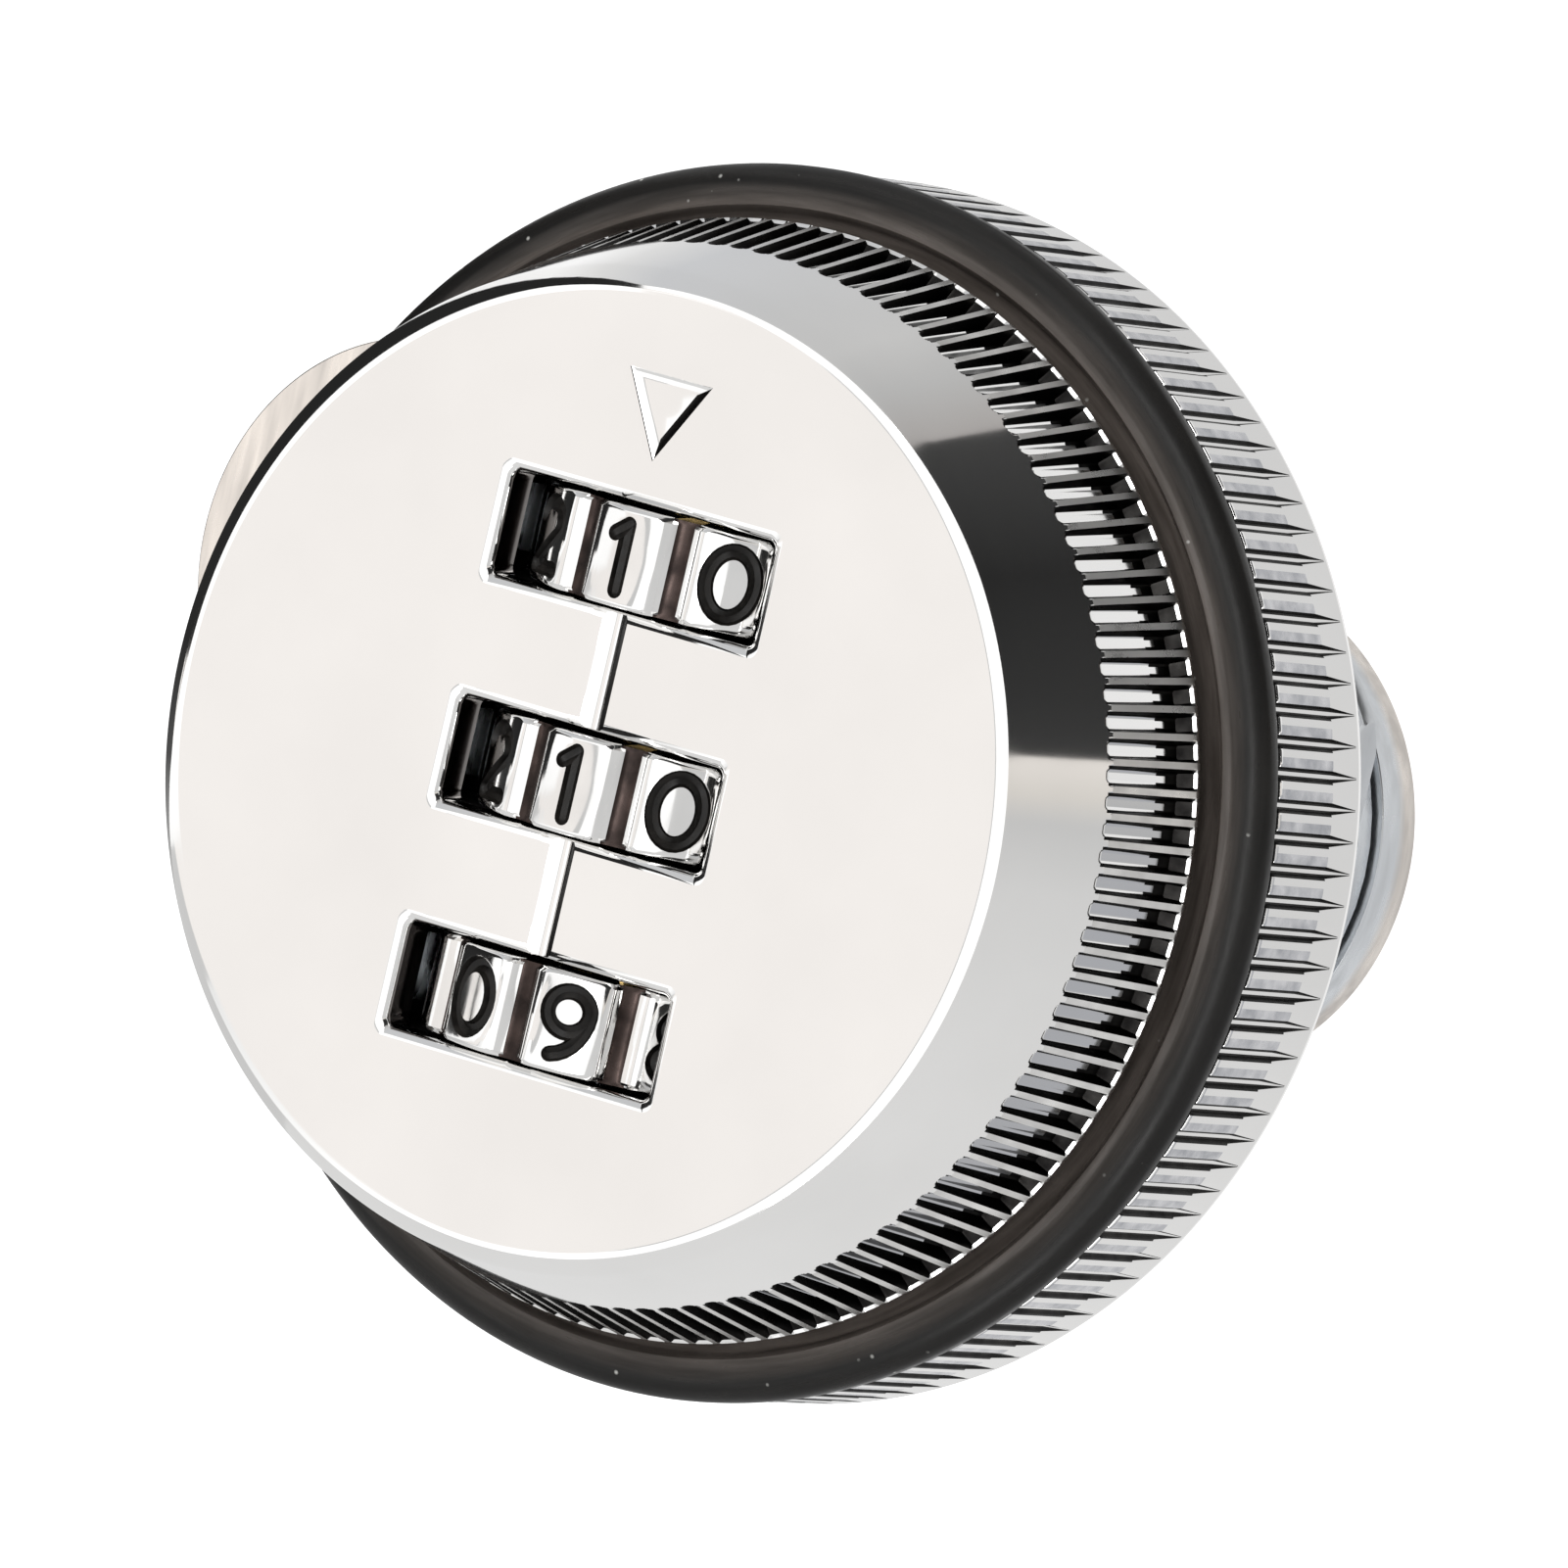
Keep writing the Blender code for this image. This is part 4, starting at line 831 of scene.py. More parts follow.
def combine(piece, tool, operation='DIFFERENCE', own_overlaps=False, paint=False):
    """A Boolean that is applied at once; the tool is removed after it."""
    pick(piece)
    step = piece.modifiers.new("combine", 'BOOLEAN')
    step.operation = operation
    step.solver = 'EXACT'
    step.use_self = own_overlaps
    step.object = tool
    if paint:
        step.material_mode = 'TRANSFER'
    bpy.ops.object.modifier_apply(modifier=step.name)
    bpy.data.objects.remove(tool, do_unlink=True)


def block(name, size, centre):
    """A block for cutting or joining, from its size and centre in mm."""
    fresh()
    bpy.ops.mesh.primitive_cube_add(size=1, location=[part * MM for part in centre])
    piece = bpy.context.object
    piece.name = name
    piece.scale = [part * MM for part in size]
    bpy.ops.object.transform_apply(location=True, rotation=True, scale=True)
    return piece


# %% A window cutter with round corners and a flared mouth
WINDOW_WIDTH = 10.15
WINDOW_HEIGHT = 3.44
WINDOW_CORNER = 0.32
EDGE_ROUND = 0.34
FLARE_STEPS = 4
CORNER_STEPS = 5
THROUGH = 0.4               # how far a cutter reaches beyond the face plate
ABOVE = 0.2                 # how far a cutter stands out of the face


def is_front(face):
    """The front of a cutter, towards the viewer."""
    return face.normal.y < -0.9


def flare(piece, size, roundness):
    """Extrudes the front of a cutter towards the viewer in widening steps."""
    edit(piece)
    select_by(piece, is_front)
    now, depth = size, roundness
    stations = [(roundness * (1 - run), roundness * (1 - rise))
                for rise, run in quarter_turn(FLARE_STEPS)]
    stations.append((roundness + ABOVE, -ABOVE))
    for wider, where in stations:
        bpy.ops.mesh.extrude_region_move(
            TRANSFORM_OT_translate={"value": (0, (where - depth) * MM, 0)})
        new = [side + 2 * wider for side in size]
        bpy.ops.transform.resize(value=(new[0] / now[0], 1, new[1] / now[1]),
                                 center_override=(0, at(where) * MM, 0))
        now, depth = new, where
    close_up()


def window_cutter(name):
    """A block as large as a window, with round corners and a mouth that flares."""
    length = FACE_PLATE + THROUGH - EDGE_ROUND
    cutter = block(name, (WINDOW_WIDTH, length, WINDOW_HEIGHT),
                   (0, at(EDGE_ROUND + length / 2), 0))
    edit(cutter)
    select_by(cutter, lambda edge: abs(edge.verts[0].co.y - edge.verts[1].co.y) > 0.1 * MM, 'EDGE')
    bpy.ops.mesh.bevel(offset=WINDOW_CORNER * MM, segments=CORNER_STEPS, affect='EDGES')
    bpy.ops.object.mode_set(mode='OBJECT')
    flare(cutter, (WINDOW_WIDTH, WINDOW_HEIGHT), EDGE_ROUND)
    return cutter


# %% Divide the face so that each window lies in a cell of its own
CELL_TOP = 2.45             # above the middle of the top window
CELL_SIDE = 6.3             # from the middle of the face
FLATNESS = 0.01             # how far from the face's plane a face of it may lie

wheel_heights = {}
for name in ("top", "middle", "bottom"):
    low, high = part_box(f"{name}_wheel")
    wheel_heights[name] = (low.z + high.z) / 2 / MM


def in_dial(face):
    """The flat front of the knob."""
    return face.normal.y < -0.999 and face.calc_center_median().y < face_y + FLATNESS * MM


half_pitch = (wheel_heights["top"] - wheel_heights["middle"]) / 2
levels = [wheel_heights["top"] + CELL_TOP]
levels += [height - half_pitch for height in wheel_heights.values()]
edit(knob)
for level in levels:
    select_by(knob, in_dial)
    bpy.ops.mesh.bisect(plane_co=(0, 0, level * MM), plane_no=(0, 0, 1))
for across in (-CELL_SIDE, CELL_SIDE):
    select_by(knob, in_dial)
    bpy.ops.mesh.bisect(plane_co=(across * MM, 0, 0), plane_no=(1, 0, 0))
cells = sum(in_dial(face) for face in bmesh.from_edit_mesh(knob.data).faces)
bpy.ops.object.mode_set(mode='OBJECT')
print("the face now has", cells, "cells")

# %% Cut the windows
mouths = [settle(window_cutter(f"{name}_mouth"), z=height)
          for name, height in wheel_heights.items()]
combine(knob, joined("window_mouths", mouths))
print("windows at heights in mm:", {name: round(z, 2) for name, z in wheel_heights.items()})

# %% Cut the engraved line and the triangle
LINE_MOUTH = 0.94
LINE_DEPTH = 0.21
LINE_RUN = 0.30             # how far a wall of the line leans in on its way down
LINE_CLEAR = 0.1            # what the line keeps clear of a window's straight edge
TRIANGLE_SIDE = 3.1
TRIANGLE_TIP = 10.1
TRIANGLE_DEPTH = 0.19
TRIANGLE_RUN = 0.34
TRIANGLE_LIP = 0.04         # a steeper step round the mouth of the triangle
LIP_GROWTH = 1.03
MOUTH_GROWTH = 1.10


def line_cutter(name, low, high):
    """A trough with leaning walls: a block whose front is resized."""
    middle = (low + high) / 2
    floor_width = LINE_MOUTH - 2 * LINE_RUN
    cutter = block(name, (floor_width, LINE_DEPTH + ABOVE, high - low),
                   (0, at((LINE_DEPTH - ABOVE) / 2), middle))
    edit(cutter)
    select_by(cutter, is_front)
    mouth_width = floor_width + 2 * LINE_RUN * (LINE_DEPTH + ABOVE) / LINE_DEPTH
    bpy.ops.transform.resize(value=(mouth_width / floor_width, 1, 1),
                             center_override=(0, at(-ABOVE) * MM, middle * MM))
    bpy.ops.object.mode_set(mode='OBJECT')
    return cutter


def triangle_cutter():
    """A three-sided cone without its tip, pointing down."""
    to_corner = TRIANGLE_SIDE / sqrt(3)
    fresh()
    bpy.ops.mesh.primitive_cone_add(
        vertices=3, radius1=to_corner * MM, radius2=(to_corner - 2 * TRIANGLE_RUN) * MM,
        depth=(TRIANGLE_DEPTH - TRIANGLE_LIP) * MM, rotation=(radians(-90), 0, 0))
    cutter = bpy.context.object
    cutter.name = "triangle_cutter"
    bpy.ops.object.transform_apply(location=False, rotation=True, scale=True)
    if max(point.co.z for point in cutter.data.vertices) > to_corner * 0.9 * MM:
        cutter.rotation_euler.y = radians(180)
    settle(cutter, y=at((TRIANGLE_DEPTH + TRIANGLE_LIP) / 2))
    edit(cutter)
    select_by(cutter, is_front)
    for rise, grow in ((TRIANGLE_LIP, LIP_GROWTH), (ABOVE, MOUTH_GROWTH)):
        bpy.ops.mesh.extrude_region_move(TRANSFORM_OT_translate={"value": (0, -rise * MM, 0)})
        bpy.ops.transform.resize(value=(grow, 1, grow), center_override=(0, at(0) * MM, 0))
    bpy.ops.object.mode_set(mode='OBJECT')
    return settle(cutter, z=TRIANGLE_TIP + to_corner)


reach = WINDOW_HEIGHT / 2 + LINE_CLEAR
marks = [line_cutter(f"{low}_line", wheel_heights[low] + reach, wheel_heights[high] - reach)
         for low, high in (("middle", "top"), ("bottom", "middle"))]
combine(knob, joined("face_marks", marks + [triangle_cutter()]))
print("marks cut:", len(knob.data.polygons), "faces")

# %% [markdown]
# The flat face must stay flat in its reflections. So its outline is marked sharp,
# and the normals are weighted by the size of each face, before the knob takes the
# place of the measured solid.

# %% Helpers for finishing a piece
AREA_WEIGHT = 80            # how far large faces rule the normals, of 100


def paint_faces(piece, material, wanted):
    """Gives the faces that a test picks a material of their own."""
    piece.data.materials.append(material)
    edit(piece)
    select_by(piece, wanted)
    piece.active_material_index = len(piece.data.materials) - 1
    bpy.ops.object.material_slot_assign()
    bpy.ops.object.mode_set(mode='OBJECT')


def weigh_normals(piece):
    """Lets large flat faces keep their own normals right up to their edges."""
    pick(piece)
    step = piece.modifiers.new("weigh", 'WEIGHTED_NORMAL')
    step.mode = 'FACE_AREA'
    step.weight = AREA_WEIGHT
    step.keep_sharp = True
    bpy.ops.object.modifier_apply(modifier=step.name)


def dress(piece, body, slot, *nodes):
    """Attaches a piece to the body that it rides on, and hides the solids that it stands for; the
    slot is not used.
    """
    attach(piece, body)
    if nodes:
        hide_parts(*nodes)


# %% Rules for the faces behind and beside the windows
CLOSE = 0.05                # a face this near a limit, in mm, still lies within it
WINDOW_REACH = WINDOW_HEIGHT / 2 + EDGE_ROUND + CLOSE
WINDOW_SHADE = 0.25         # depth from which a window's left wall is in shade
MARK_REACH = 1.7            # half the width of the widest mark, and a little more


def from_window(middle):
    """How far a place is above or below the middle of the nearest window."""
    return min(abs(middle.z - height) for height in wheel_heights.values())


def in_cavity(face):
    """The inside of the knob, with the rear of the face plate."""
    middle = face.calc_center_median() / MM
    inside = hypot(middle.x, middle.z) < CAVITY_RADIUS + CLOSE
    return inside and middle.y > at(FACE_PLATE) - CLOSE


def in_window_shade(face):
    """The windows' left walls, which look into the dark beside the wheels and get painted shade."""
    middle = face.calc_center_median() / MM
    near = from_window(middle) < WINDOW_REACH and abs(middle.x) < WINDOW_WIDTH
    in_plate = at(WINDOW_SHADE) < middle.y < at(FACE_PLATE) + CLOSE
    return near and in_plate and face.normal.x > 0.5


def in_mark_shade(face):
    """The walls of the marks that face left, which get painted shade."""
    middle = face.calc_center_median() / MM
    near = from_window(middle) > WINDOW_REACH and abs(middle.x) < MARK_REACH
    shallow = at(FLATNESS) < middle.y < at(LINE_DEPTH)
    return near and shallow and face.normal.x < -0.25


# %% Rules for the faces of the flutes
WALL_START, WALL_END = 2, 4         # a flute's wall, in steps from the middle of a crest
FLOOR_MIDDLE = 6                    # from here on, light reaches further back
SHADE_START = FLUTE_START + 0.1
WORN_START, WORN_END = FLUTE_START + 0.3, KNOB_LENGTH - 0.1


def from_crest(middle):
    """Steps from the middle of the nearest crest, 8 in mid-flute."""
    return share_of_pitch(middle.x, middle.z, KNOB_FLUTES) * POINTS_PER_FLUTE / 2


def in_flute_shade(face):
    """The steep sides of the flutes, and their floors near the rear, which get painted shade."""
    middle = face.calc_center_median() / MM
    depth = middle.y - at(0)
    if not SHADE_START < depth < SHADE_END or hypot(middle.x, middle.z) < CONE_START:
        return False
    step = from_crest(middle)
    dark_from = FLUTE_SHADOW + FLUTE_TAPER * (step > FLOOR_MIDDLE)
    return WALL_START < step < WALL_END or (step > WALL_START and depth > dark_from)


def on_crest(face):
    """The crests between the flutes, which fingers wear."""
    middle = face.calc_center_median() / MM
    outside = hypot(middle.x, middle.z) > cone_radius(FLUTE_START)
    along = at(WORN_START) < middle.y < at(WORN_END)
    return outside and along and from_crest(middle) < WALL_START


# %% Finish the knob
knob.data.materials.append(chrome)
# painted shade: inside the knob, on the windows' left walls, on the flute walls and rear floors,
# and on the marks' left-facing walls
paint_faces(knob, dull_casting_shade, in_cavity)
paint_faces(knob, shaded_chrome, in_window_shade)
paint_faces(knob, groove_shade, lambda face: in_flute_shade(face) or in_mark_shade(face))
paint_faces(knob, worn_chrome, on_crest)
polish(knob, 40)
edit(knob)
select_by(knob, in_dial)
bpy.ops.mesh.region_to_loop()
bpy.ops.mesh.mark_sharp()
bpy.ops.object.mode_set(mode='OBJECT')
weigh_normals(knob)
dress(knob, "knob", "chrome", "knob_shell")
print("knob dressed; materials:", [m.name for m in knob.data.materials])

# %% [markdown]
# ## The number wheels
# Three wheels stand behind the windows, each with ten raised pads and a number
# engraved on each pad. We turn one wheel, press in the ten grooves, cut the ten
# numbers into it, and then copy the finished wheel three times.

# %% Turn one wheel and press in its grooves
WHEEL_RADIUS = 5.9
WHEEL_BORE = 2.4
HALF_WIDTH = 1.6
PADS = 10
WHEEL_COLUMNS = 240
COLUMNS_PER_PAD = WHEEL_COLUMNS // PADS
PAD_GROOVE_DEPTH = 0.45
GROOVE_WEIGHTS = (1.0, 1.0, 0.86, 0.4, 0.1, 0.02)       # from the middle of a groove out
SIDE_ROUND = ((0.16, 0.0), (0.07, 0.03), (0.02, 0.08), (0.0, 0.17))     # (inset, back)
NEAR_EDGE = 0.1             # mm from the bore or a side that still belong to it

side = [(WHEEL_RADIUS - inset, HALF_WIDTH - back) for inset, back in SIDE_ROUND]
outline = [(WHEEL_BORE, -HALF_WIDTH)] + [(radius, -place) for radius, place in side]
outline += [(WHEEL_RADIUS, 0.0)] + side[::-1] + [(WHEEL_BORE, HALF_WIDTH)]
wheel = turned("number_wheel", outline, WHEEL_COLUMNS, axis='Z', hollow=True)


def pad_groove(point):
    """Columns near the middle between two pads go in; more of them near the sides."""
    radius = hypot(point.x, point.y) / MM
    if radius < WHEEL_BORE + NEAR_EDGE:
        return 1
    column = atan2(point.y, point.x) / (2 * pi) * WHEEL_COLUMNS % COLUMNS_PER_PAD
    from_groove = round(min(column, COLUMNS_PER_PAD - column))
    if abs(point.z) / MM > HALF_WIDTH - NEAR_EDGE:
        from_groove -= 1
    if from_groove >= len(GROOVE_WEIGHTS):
        return 1
    floor = min(radius, WHEEL_RADIUS - PAD_GROOVE_DEPTH)
    return (radius + (floor - radius) * GROOVE_WEIGHTS[max(0, from_groove)]) / radius


press_in(wheel, pad_groove, axis='Z')
print("wheel:", len(wheel.data.polygons), "faces")

# %% [markdown]
# The numbers are cut with a round-nosed engraving tool. So each stroke is a
# round tube with round ends, drawn along lines and arcs, laid on the wheel's
# surface. A Boolean sinks half of each tube into the metal, and the faces that
# it leaves take the black paint of the cutter.

# %% Draw the numbers as strokes
STROKE = 0.27               # radius of the engraving tool
HALF_HEIGHT = 1.06          # of a number, at the middle of its strokes
ARC_STEP = 12               # degrees between the points of an arc
BALL_STEPS = (25, 50, 70, 84)       # degrees round the ball at the end of a stroke


def arc(across, up, wide, high, start, end):
    """Points of an arc of an ellipse; angles run anticlockwise from the right."""
    steps = max(6, round(abs(end - start) / ARC_STEP))
    turns = [radians(start + (end - start) * step / steps) for step in range(steps + 1)]
    return [(across + wide * cos(turn), up + high * sin(turn)) for turn in turns]


def strokes_of(number):
    """The strokes of a number, each a list of (across, up) points in mm."""
    top, low = HALF_HEIGHT, -HALF_HEIGHT
    return {
        0: [arc(0, 0, 0.80, HALF_HEIGHT, 90, 450)],
        1: [[(-0.42, 0.72), (0.02, top)], [(0.02, top), (0.02, low)]],
        2: [arc(0, 0.42, 0.68, 0.64, 165, -35) + [(-0.70, low)], [(-0.70, low), (0.74, low)]],
        3: [arc(-0.04, 0.53, 0.62, 0.53, 150, -90), arc(-0.04, -0.5, 0.70, 0.56, 90, -150)],
        4: [[(0.38, low), (0.38, top)], [(0.38, top), (-0.74, -0.38)],
            [(-0.74, -0.38), (0.80, -0.38)]],
        5: [[(0.60, top), (-0.48, top)], [(-0.48, top), (-0.58, 0.12)],
            [(-0.58, 0.12)] + arc(-0.02, -0.38, 0.72, 0.68, 125, -145)],
        6: [arc(0, -0.40, 0.70, 0.66, 0, 360), arc(0.55, -0.40, 1.25, 1.46, 180, 100)],
        7: [[(-0.72, top), (0.72, top)], [(0.72, top), (-0.22, low)]],
        8: [arc(0, 0.54, 0.60, 0.52, 90, 450), arc(0, -0.52, 0.72, 0.54, 90, 450)],
        9: [arc(0, 0.40, 0.70, 0.66, 0, 360), arc(-0.55, 0.40, 1.25, 1.46, 0, -80)],
    }[number]


def rounded_ends(points):
    """Adds points beyond both ends where the tube closes like a ball."""
    middle = [(x, z, 1.0) for x, z in points]
    closed = hypot(points[0][0] - points[-1][0], points[0][1] - points[-1][1]) < 0.01
    if closed:
        return middle[:-1], True
    caps = []
    for end, inner in ((points[0], points[1]), (points[-1], points[-2])):
        away = (Vector(end) - Vector(inner)).normalized()
        caps.append([(*(Vector(end) + away * STROKE * sin(radians(swing))), cos(radians(swing)))
                     for swing in BALL_STEPS])
    return caps[0][::-1] + middle + caps[1], False


def number_tubes(number, turn):
    """The strokes of one number as tubes on the wheel's surface, at an angle."""
    curve = bpy.data.curves.new(f"number_{number}", 'CURVE')
    curve.dimensions = '3D'
    curve.bevel_depth = STROKE * MM
    curve.bevel_resolution = 2
    curve.use_fill_caps = True
    curve.twist_mode = 'MINIMUM'
    for stroke in strokes_of(number):
        points, closed = rounded_ends(stroke)
        spline = curve.splines.new('POLY')
        spline.points.add(len(points) - 1)
        spline.use_cyclic_u = closed
        for spot, (across, up, share) in zip(spline.points, points):
            angle = turn - pi / 2 + across / WHEEL_RADIUS
            spot.co = (WHEEL_RADIUS * MM * cos(angle), WHEEL_RADIUS * MM * sin(angle), up * MM, 1)
            spot.radius = share
    made = bpy.data.objects.new(f"number_{number}", curve)
    scene.collection.objects.link(made)
    return made


# %% Engrave the wheel
PAD_TURN = radians(360 / PADS)
GROOVE_SHADE_DEPTH = 0.34         # the grooves get painted shade from this depth on

fresh()
drawn = [number_tubes(number, -PAD_TURN * (number - 1)) for number in range(PADS)]
for made in drawn:
    made.select_set(True)
bpy.context.view_layer.objects.active = drawn[0]
bpy.ops.object.convert(target='MESH')
tool = joined("number_strokes", drawn)
tool.data.materials.clear()
tool.data.materials.append(number_paint)
edit(tool)
bpy.ops.mesh.select_all(action='SELECT')
bpy.ops.mesh.remove_doubles(threshold=SAME_PLACE)
close_up()
wheel.data.materials.append(wheel_chrome)


def in_pad_groove(face):
    """The deep part of the grooves between the pads, without the wheel's sides."""
    middle = face.calc_center_median() / MM
    deep = WHEEL_BORE + NEAR_EDGE < hypot(middle.x, middle.y) < WHEEL_RADIUS - GROOVE_SHADE_DEPTH
    return deep and abs(face.normal.z) < 0.5


# painted shade in the deep grooves between the pads
paint_faces(wheel, recess_plating, in_pad_groove)
combine(wheel, tool, own_overlaps=True, paint=True)
polish(wheel, 35)
print("numbers engraved; materials:", [m.name for m in wheel.data.materials])

# %% Copy the wheel into the three windows
WHEEL_TURNS = {"top": 1.5, "middle": 1.5, "bottom": -53.3}      # degrees

low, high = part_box("top_wheel")
wheel_y = (low.y + high.y) / 2 / MM
for name, degrees_turned in WHEEL_TURNS.items():
    pick(wheel)
    bpy.ops.object.duplicate(linked=False)
    copy = bpy.context.object
    copy.name = f"{name}_number_wheel"
    settle(copy, y=wheel_y, z=wheel_heights[name], turn=radians(degrees_turned))
    dress(copy, f"wheel_{name}", "wheel_chrome", f"{name}_wheel")
bpy.data.objects.remove(wheel, do_unlink=True)
print("wheels at depth", round(wheel_y - at(0), 2), "mm behind the face")

# %% [markdown]
# ## The gasket
# A moulded rubber ring keeps water out behind the knob. It has a flat inner part,
# a thin ridge, and a round bead at its outside.

# %% Turn the gasket
low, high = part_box("rubber_gasket")
gasket_front, gasket_rear = low.y / MM, high.y / MM
GASKET_RADIUS = high.x / MM
GASKET_BORE = 13.9
RIDGE_RADIUS = 18.42
RIDGE_HEIGHT = 0.3
BEAD_WIDTH = 1.0
BEAD_RISE = 0.69
BEAD_DROP = 0.12
BEAD_STEPS = 9

flat = gasket_front + RIDGE_HEIGHT
outline = [(GASKET_BORE, flat), (RIDGE_RADIUS - 0.16, flat), (RIDGE_RADIUS - 0.08, flat - 0.06),
           (RIDGE_RADIUS, gasket_front + 0.06), (RIDGE_RADIUS + 0.10, gasket_front),
           (RIDGE_RADIUS + 0.20, gasket_front + 0.02), (RIDGE_RADIUS + 0.30, gasket_front + 0.10),
           (RIDGE_RADIUS + 0.38, gasket_front + BEAD_DROP)]
bead_start = GASKET_RADIUS - BEAD_WIDTH
outline.append((bead_start, gasket_front + BEAD_DROP))
outline += [(bead_start + BEAD_WIDTH * rise, gasket_front + BEAD_DROP + BEAD_RISE * (1 - run))
            for rise, run in quarter_turn(BEAD_STEPS)]
outline += [(GASKET_RADIUS, gasket_rear - 0.15), (GASKET_RADIUS - 0.05, gasket_rear - 0.04),
            (GASKET_RADIUS - 0.15, gasket_rear), (GASKET_BORE, gasket_rear)]
gasket = turned("gasket_ring", outline, 256, hollow=True)
gasket.data.materials.append(rubber)
polish(gasket, 40)
dress(gasket, "barrel", "rubber", "rubber_gasket")
print("gasket from", round(gasket_front, 2), "to", round(gasket_rear, 2), "mm")

# %% [markdown]
# ## The trim ring
# The trim ring sits on the door. Its flutes are narrow saw-cut grooves between
# broad flat crests, and they end in points short of the rounded rear edge.

# %% Turn the trim ring and press in its grooves
low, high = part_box("trim_ring")
trim_front, trim_rear = low.y / MM, high.y / MM
TRIM_RADIUS = high.x / MM
TRIM_BORE = 16.6
TRIM_WALL = 0.75
TRIM_HOLE = 9.7
TRIM_ROUND = 0.5
ROUND_STEPS = 5
TRIM_GROOVES = 122
POINTS_PER_GROOVE = 16
TRIM_GROOVE_DEPTH = 0.14
TRIM_GROOVE = (0.0, 0.0, 0.0, 0.0, 0.02, 0.15, 0.85, 1.0, 1.0)   # from crest to mid-groove
GROOVE_STRAIGHT = 3.3       # length of a groove before its sides draw together
GROOVE_TIP = 4.75

outline = [(TRIM_BORE, trim_front), (TRIM_RADIUS - 0.12, trim_front),
           (TRIM_RADIUS - 0.03, trim_front + 0.04)]
outline += [(TRIM_RADIUS, trim_front + along)
            for along in (0.13, 0.2, 2.0, GROOVE_STRAIGHT - 0.4, GROOVE_STRAIGHT, GROOVE_TIP)]
outline += [(TRIM_RADIUS - TRIM_ROUND * (1 - run), trim_rear - TRIM_ROUND * (1 - rise))
            for rise, run in quarter_turn(ROUND_STEPS, first=0)]
outline += [(TRIM_HOLE, trim_rear), (TRIM_HOLE, trim_rear - TRIM_WALL),
            (TRIM_BORE, trim_rear - TRIM_WALL)]
trim = turned("trim_ring_polished", outline, TRIM_GROOVES * POINTS_PER_GROOVE, hollow=True)


def from_groove(point):
    """Steps round the ring from the middle of the nearest groove, with their sign."""
    turn = (atan2(point.z, point.x) - pi / 2) / (2 * pi) * TRIM_GROOVES - 0.5
    return (turn - round(turn)) * POINTS_PER_GROOVE


def trim_groove(point):
    """The factor that puts a point of the ring on the wall or the floor of its groove."""
    radius = hypot(point.x, point.z) / MM
    if radius < TRIM_BORE + 1 or point.y / MM > trim_front + GROOVE_STRAIGHT + 0.1:
        return 1
    from_crest_middle = round(POINTS_PER_GROOVE / 2 - abs(from_groove(point)))
    floor = TRIM_RADIUS - TRIM_GROOVE_DEPTH * TRIM_GROOVE[from_crest_middle]
    return min(radius, floor) / radius


print("groups of points pressed in:", press_in(trim, trim_groove))

# %% Draw the ends of the grooves together into points
PINCH = 0.85                # share of its way to mid-groove that a point goes


def at_tip(point):
    return abs(point.co.y / MM - trim_front - GROOVE_TIP) < 0.01


step_angle = 2 * pi / (TRIM_GROOVES * POINTS_PER_GROOVE)
edit(trim)
for step in (-3, -2, -1, 1, 2, 3):
    select_by(trim, lambda point: at_tip(point) and round(from_groove(point.co)) == step, 'VERT')
    bpy.ops.transform.rotate(value=-PINCH * step * step_angle, orient_axis='Y',
                             center_override=(0, 0, 0))
bpy.ops.object.mode_set(mode='OBJECT')
tips = {abs(round(from_groove(point.co), 2)) for point in trim.data.vertices if at_tip(point)}
print("steps from mid-groove at a groove's end:", sorted(tips))

# %% Rules for the faces of the trim ring
GROOVE_WALLS = ((-4, -1), (1, 3))   # in steps from mid-groove
TIP_WALL = (0.6, 2.5)               # on both sides of a pointed end
CREST_SHADE_BAND = (3, 7.6)                # half a crest in painted shade, on one side of each groove
CREST_SHADE_START, CREST_SHADE_END = 0.13, GROOVE_STRAIGHT - 0.1


def place_in_pitch(face):
    """Steps of a face from mid-groove, its depth, and if it lies on the outside."""
    middle = face.calc_center_median() / MM
    outside = TRIM_RADIUS - TRIM_GROOVE_DEPTH - 0.02 < hypot(middle.x, middle.z)
    return from_groove(middle), middle.y - trim_front, outside


def in_groove_wall(face):
    """The walls of a groove, straight and then drawn together."""
    step, depth, outside = place_in_pitch(face)
    if not outside or depth > GROOVE_TIP:
        return False
    if depth > GROOVE_STRAIGHT:
        return TIP_WALL[0] < abs(step) < TIP_WALL[1]
    return any(start < step < end for start, end in GROOVE_WALLS)


def beside_groove(face):
    """The band of painted shade on one side of each groove."""
    step, depth, outside = place_in_pitch(face)
    return outside and CREST_SHADE_BAND[0] < step < CREST_SHADE_BAND[1] and CREST_SHADE_START < depth < CREST_SHADE_END


# %% Paint shade on the walls of the grooves and beside them, and swap the trim ring in
FLAT_SIDE = 8.2             # from the axis to the flat sides of the hole for the barrel
KEY_HEIGHT = 11.4
KEY_OVERLAP = 0.4           # how far a key reaches into the ring that it is joined to

trim.data.materials.append(chrome)
paint_faces(trim, groove_shade, in_groove_wall)
paint_faces(trim, crest_shade_chrome, beside_groove)
key_width = TRIM_HOLE + KEY_OVERLAP - FLAT_SIDE
for side in (-1, 1):
    key = block("flat_key", (key_width, TRIM_WALL, KEY_HEIGHT),
                (side * (FLAT_SIDE + key_width / 2), trim_rear - TRIM_WALL / 2, 0))
    key.data.materials.append(chrome)
    combine(trim, key, 'UNION')
polish(trim, 35)
dress(trim, "barrel", "chrome", "trim_ring")
print("trim ring from", round(trim_front, 2), "to", round(trim_rear, 2), "mm")

# %% [markdown]
# ## The barrel
# The barrel is one zinc casting: a cup that holds the knob's works, and a shank
# with a rolled thread and two flats. The thread is pressed in with the same
# tool as the flutes, but its rule follows a helix. The flats are milled after it,
# so they cut straight through the thread.

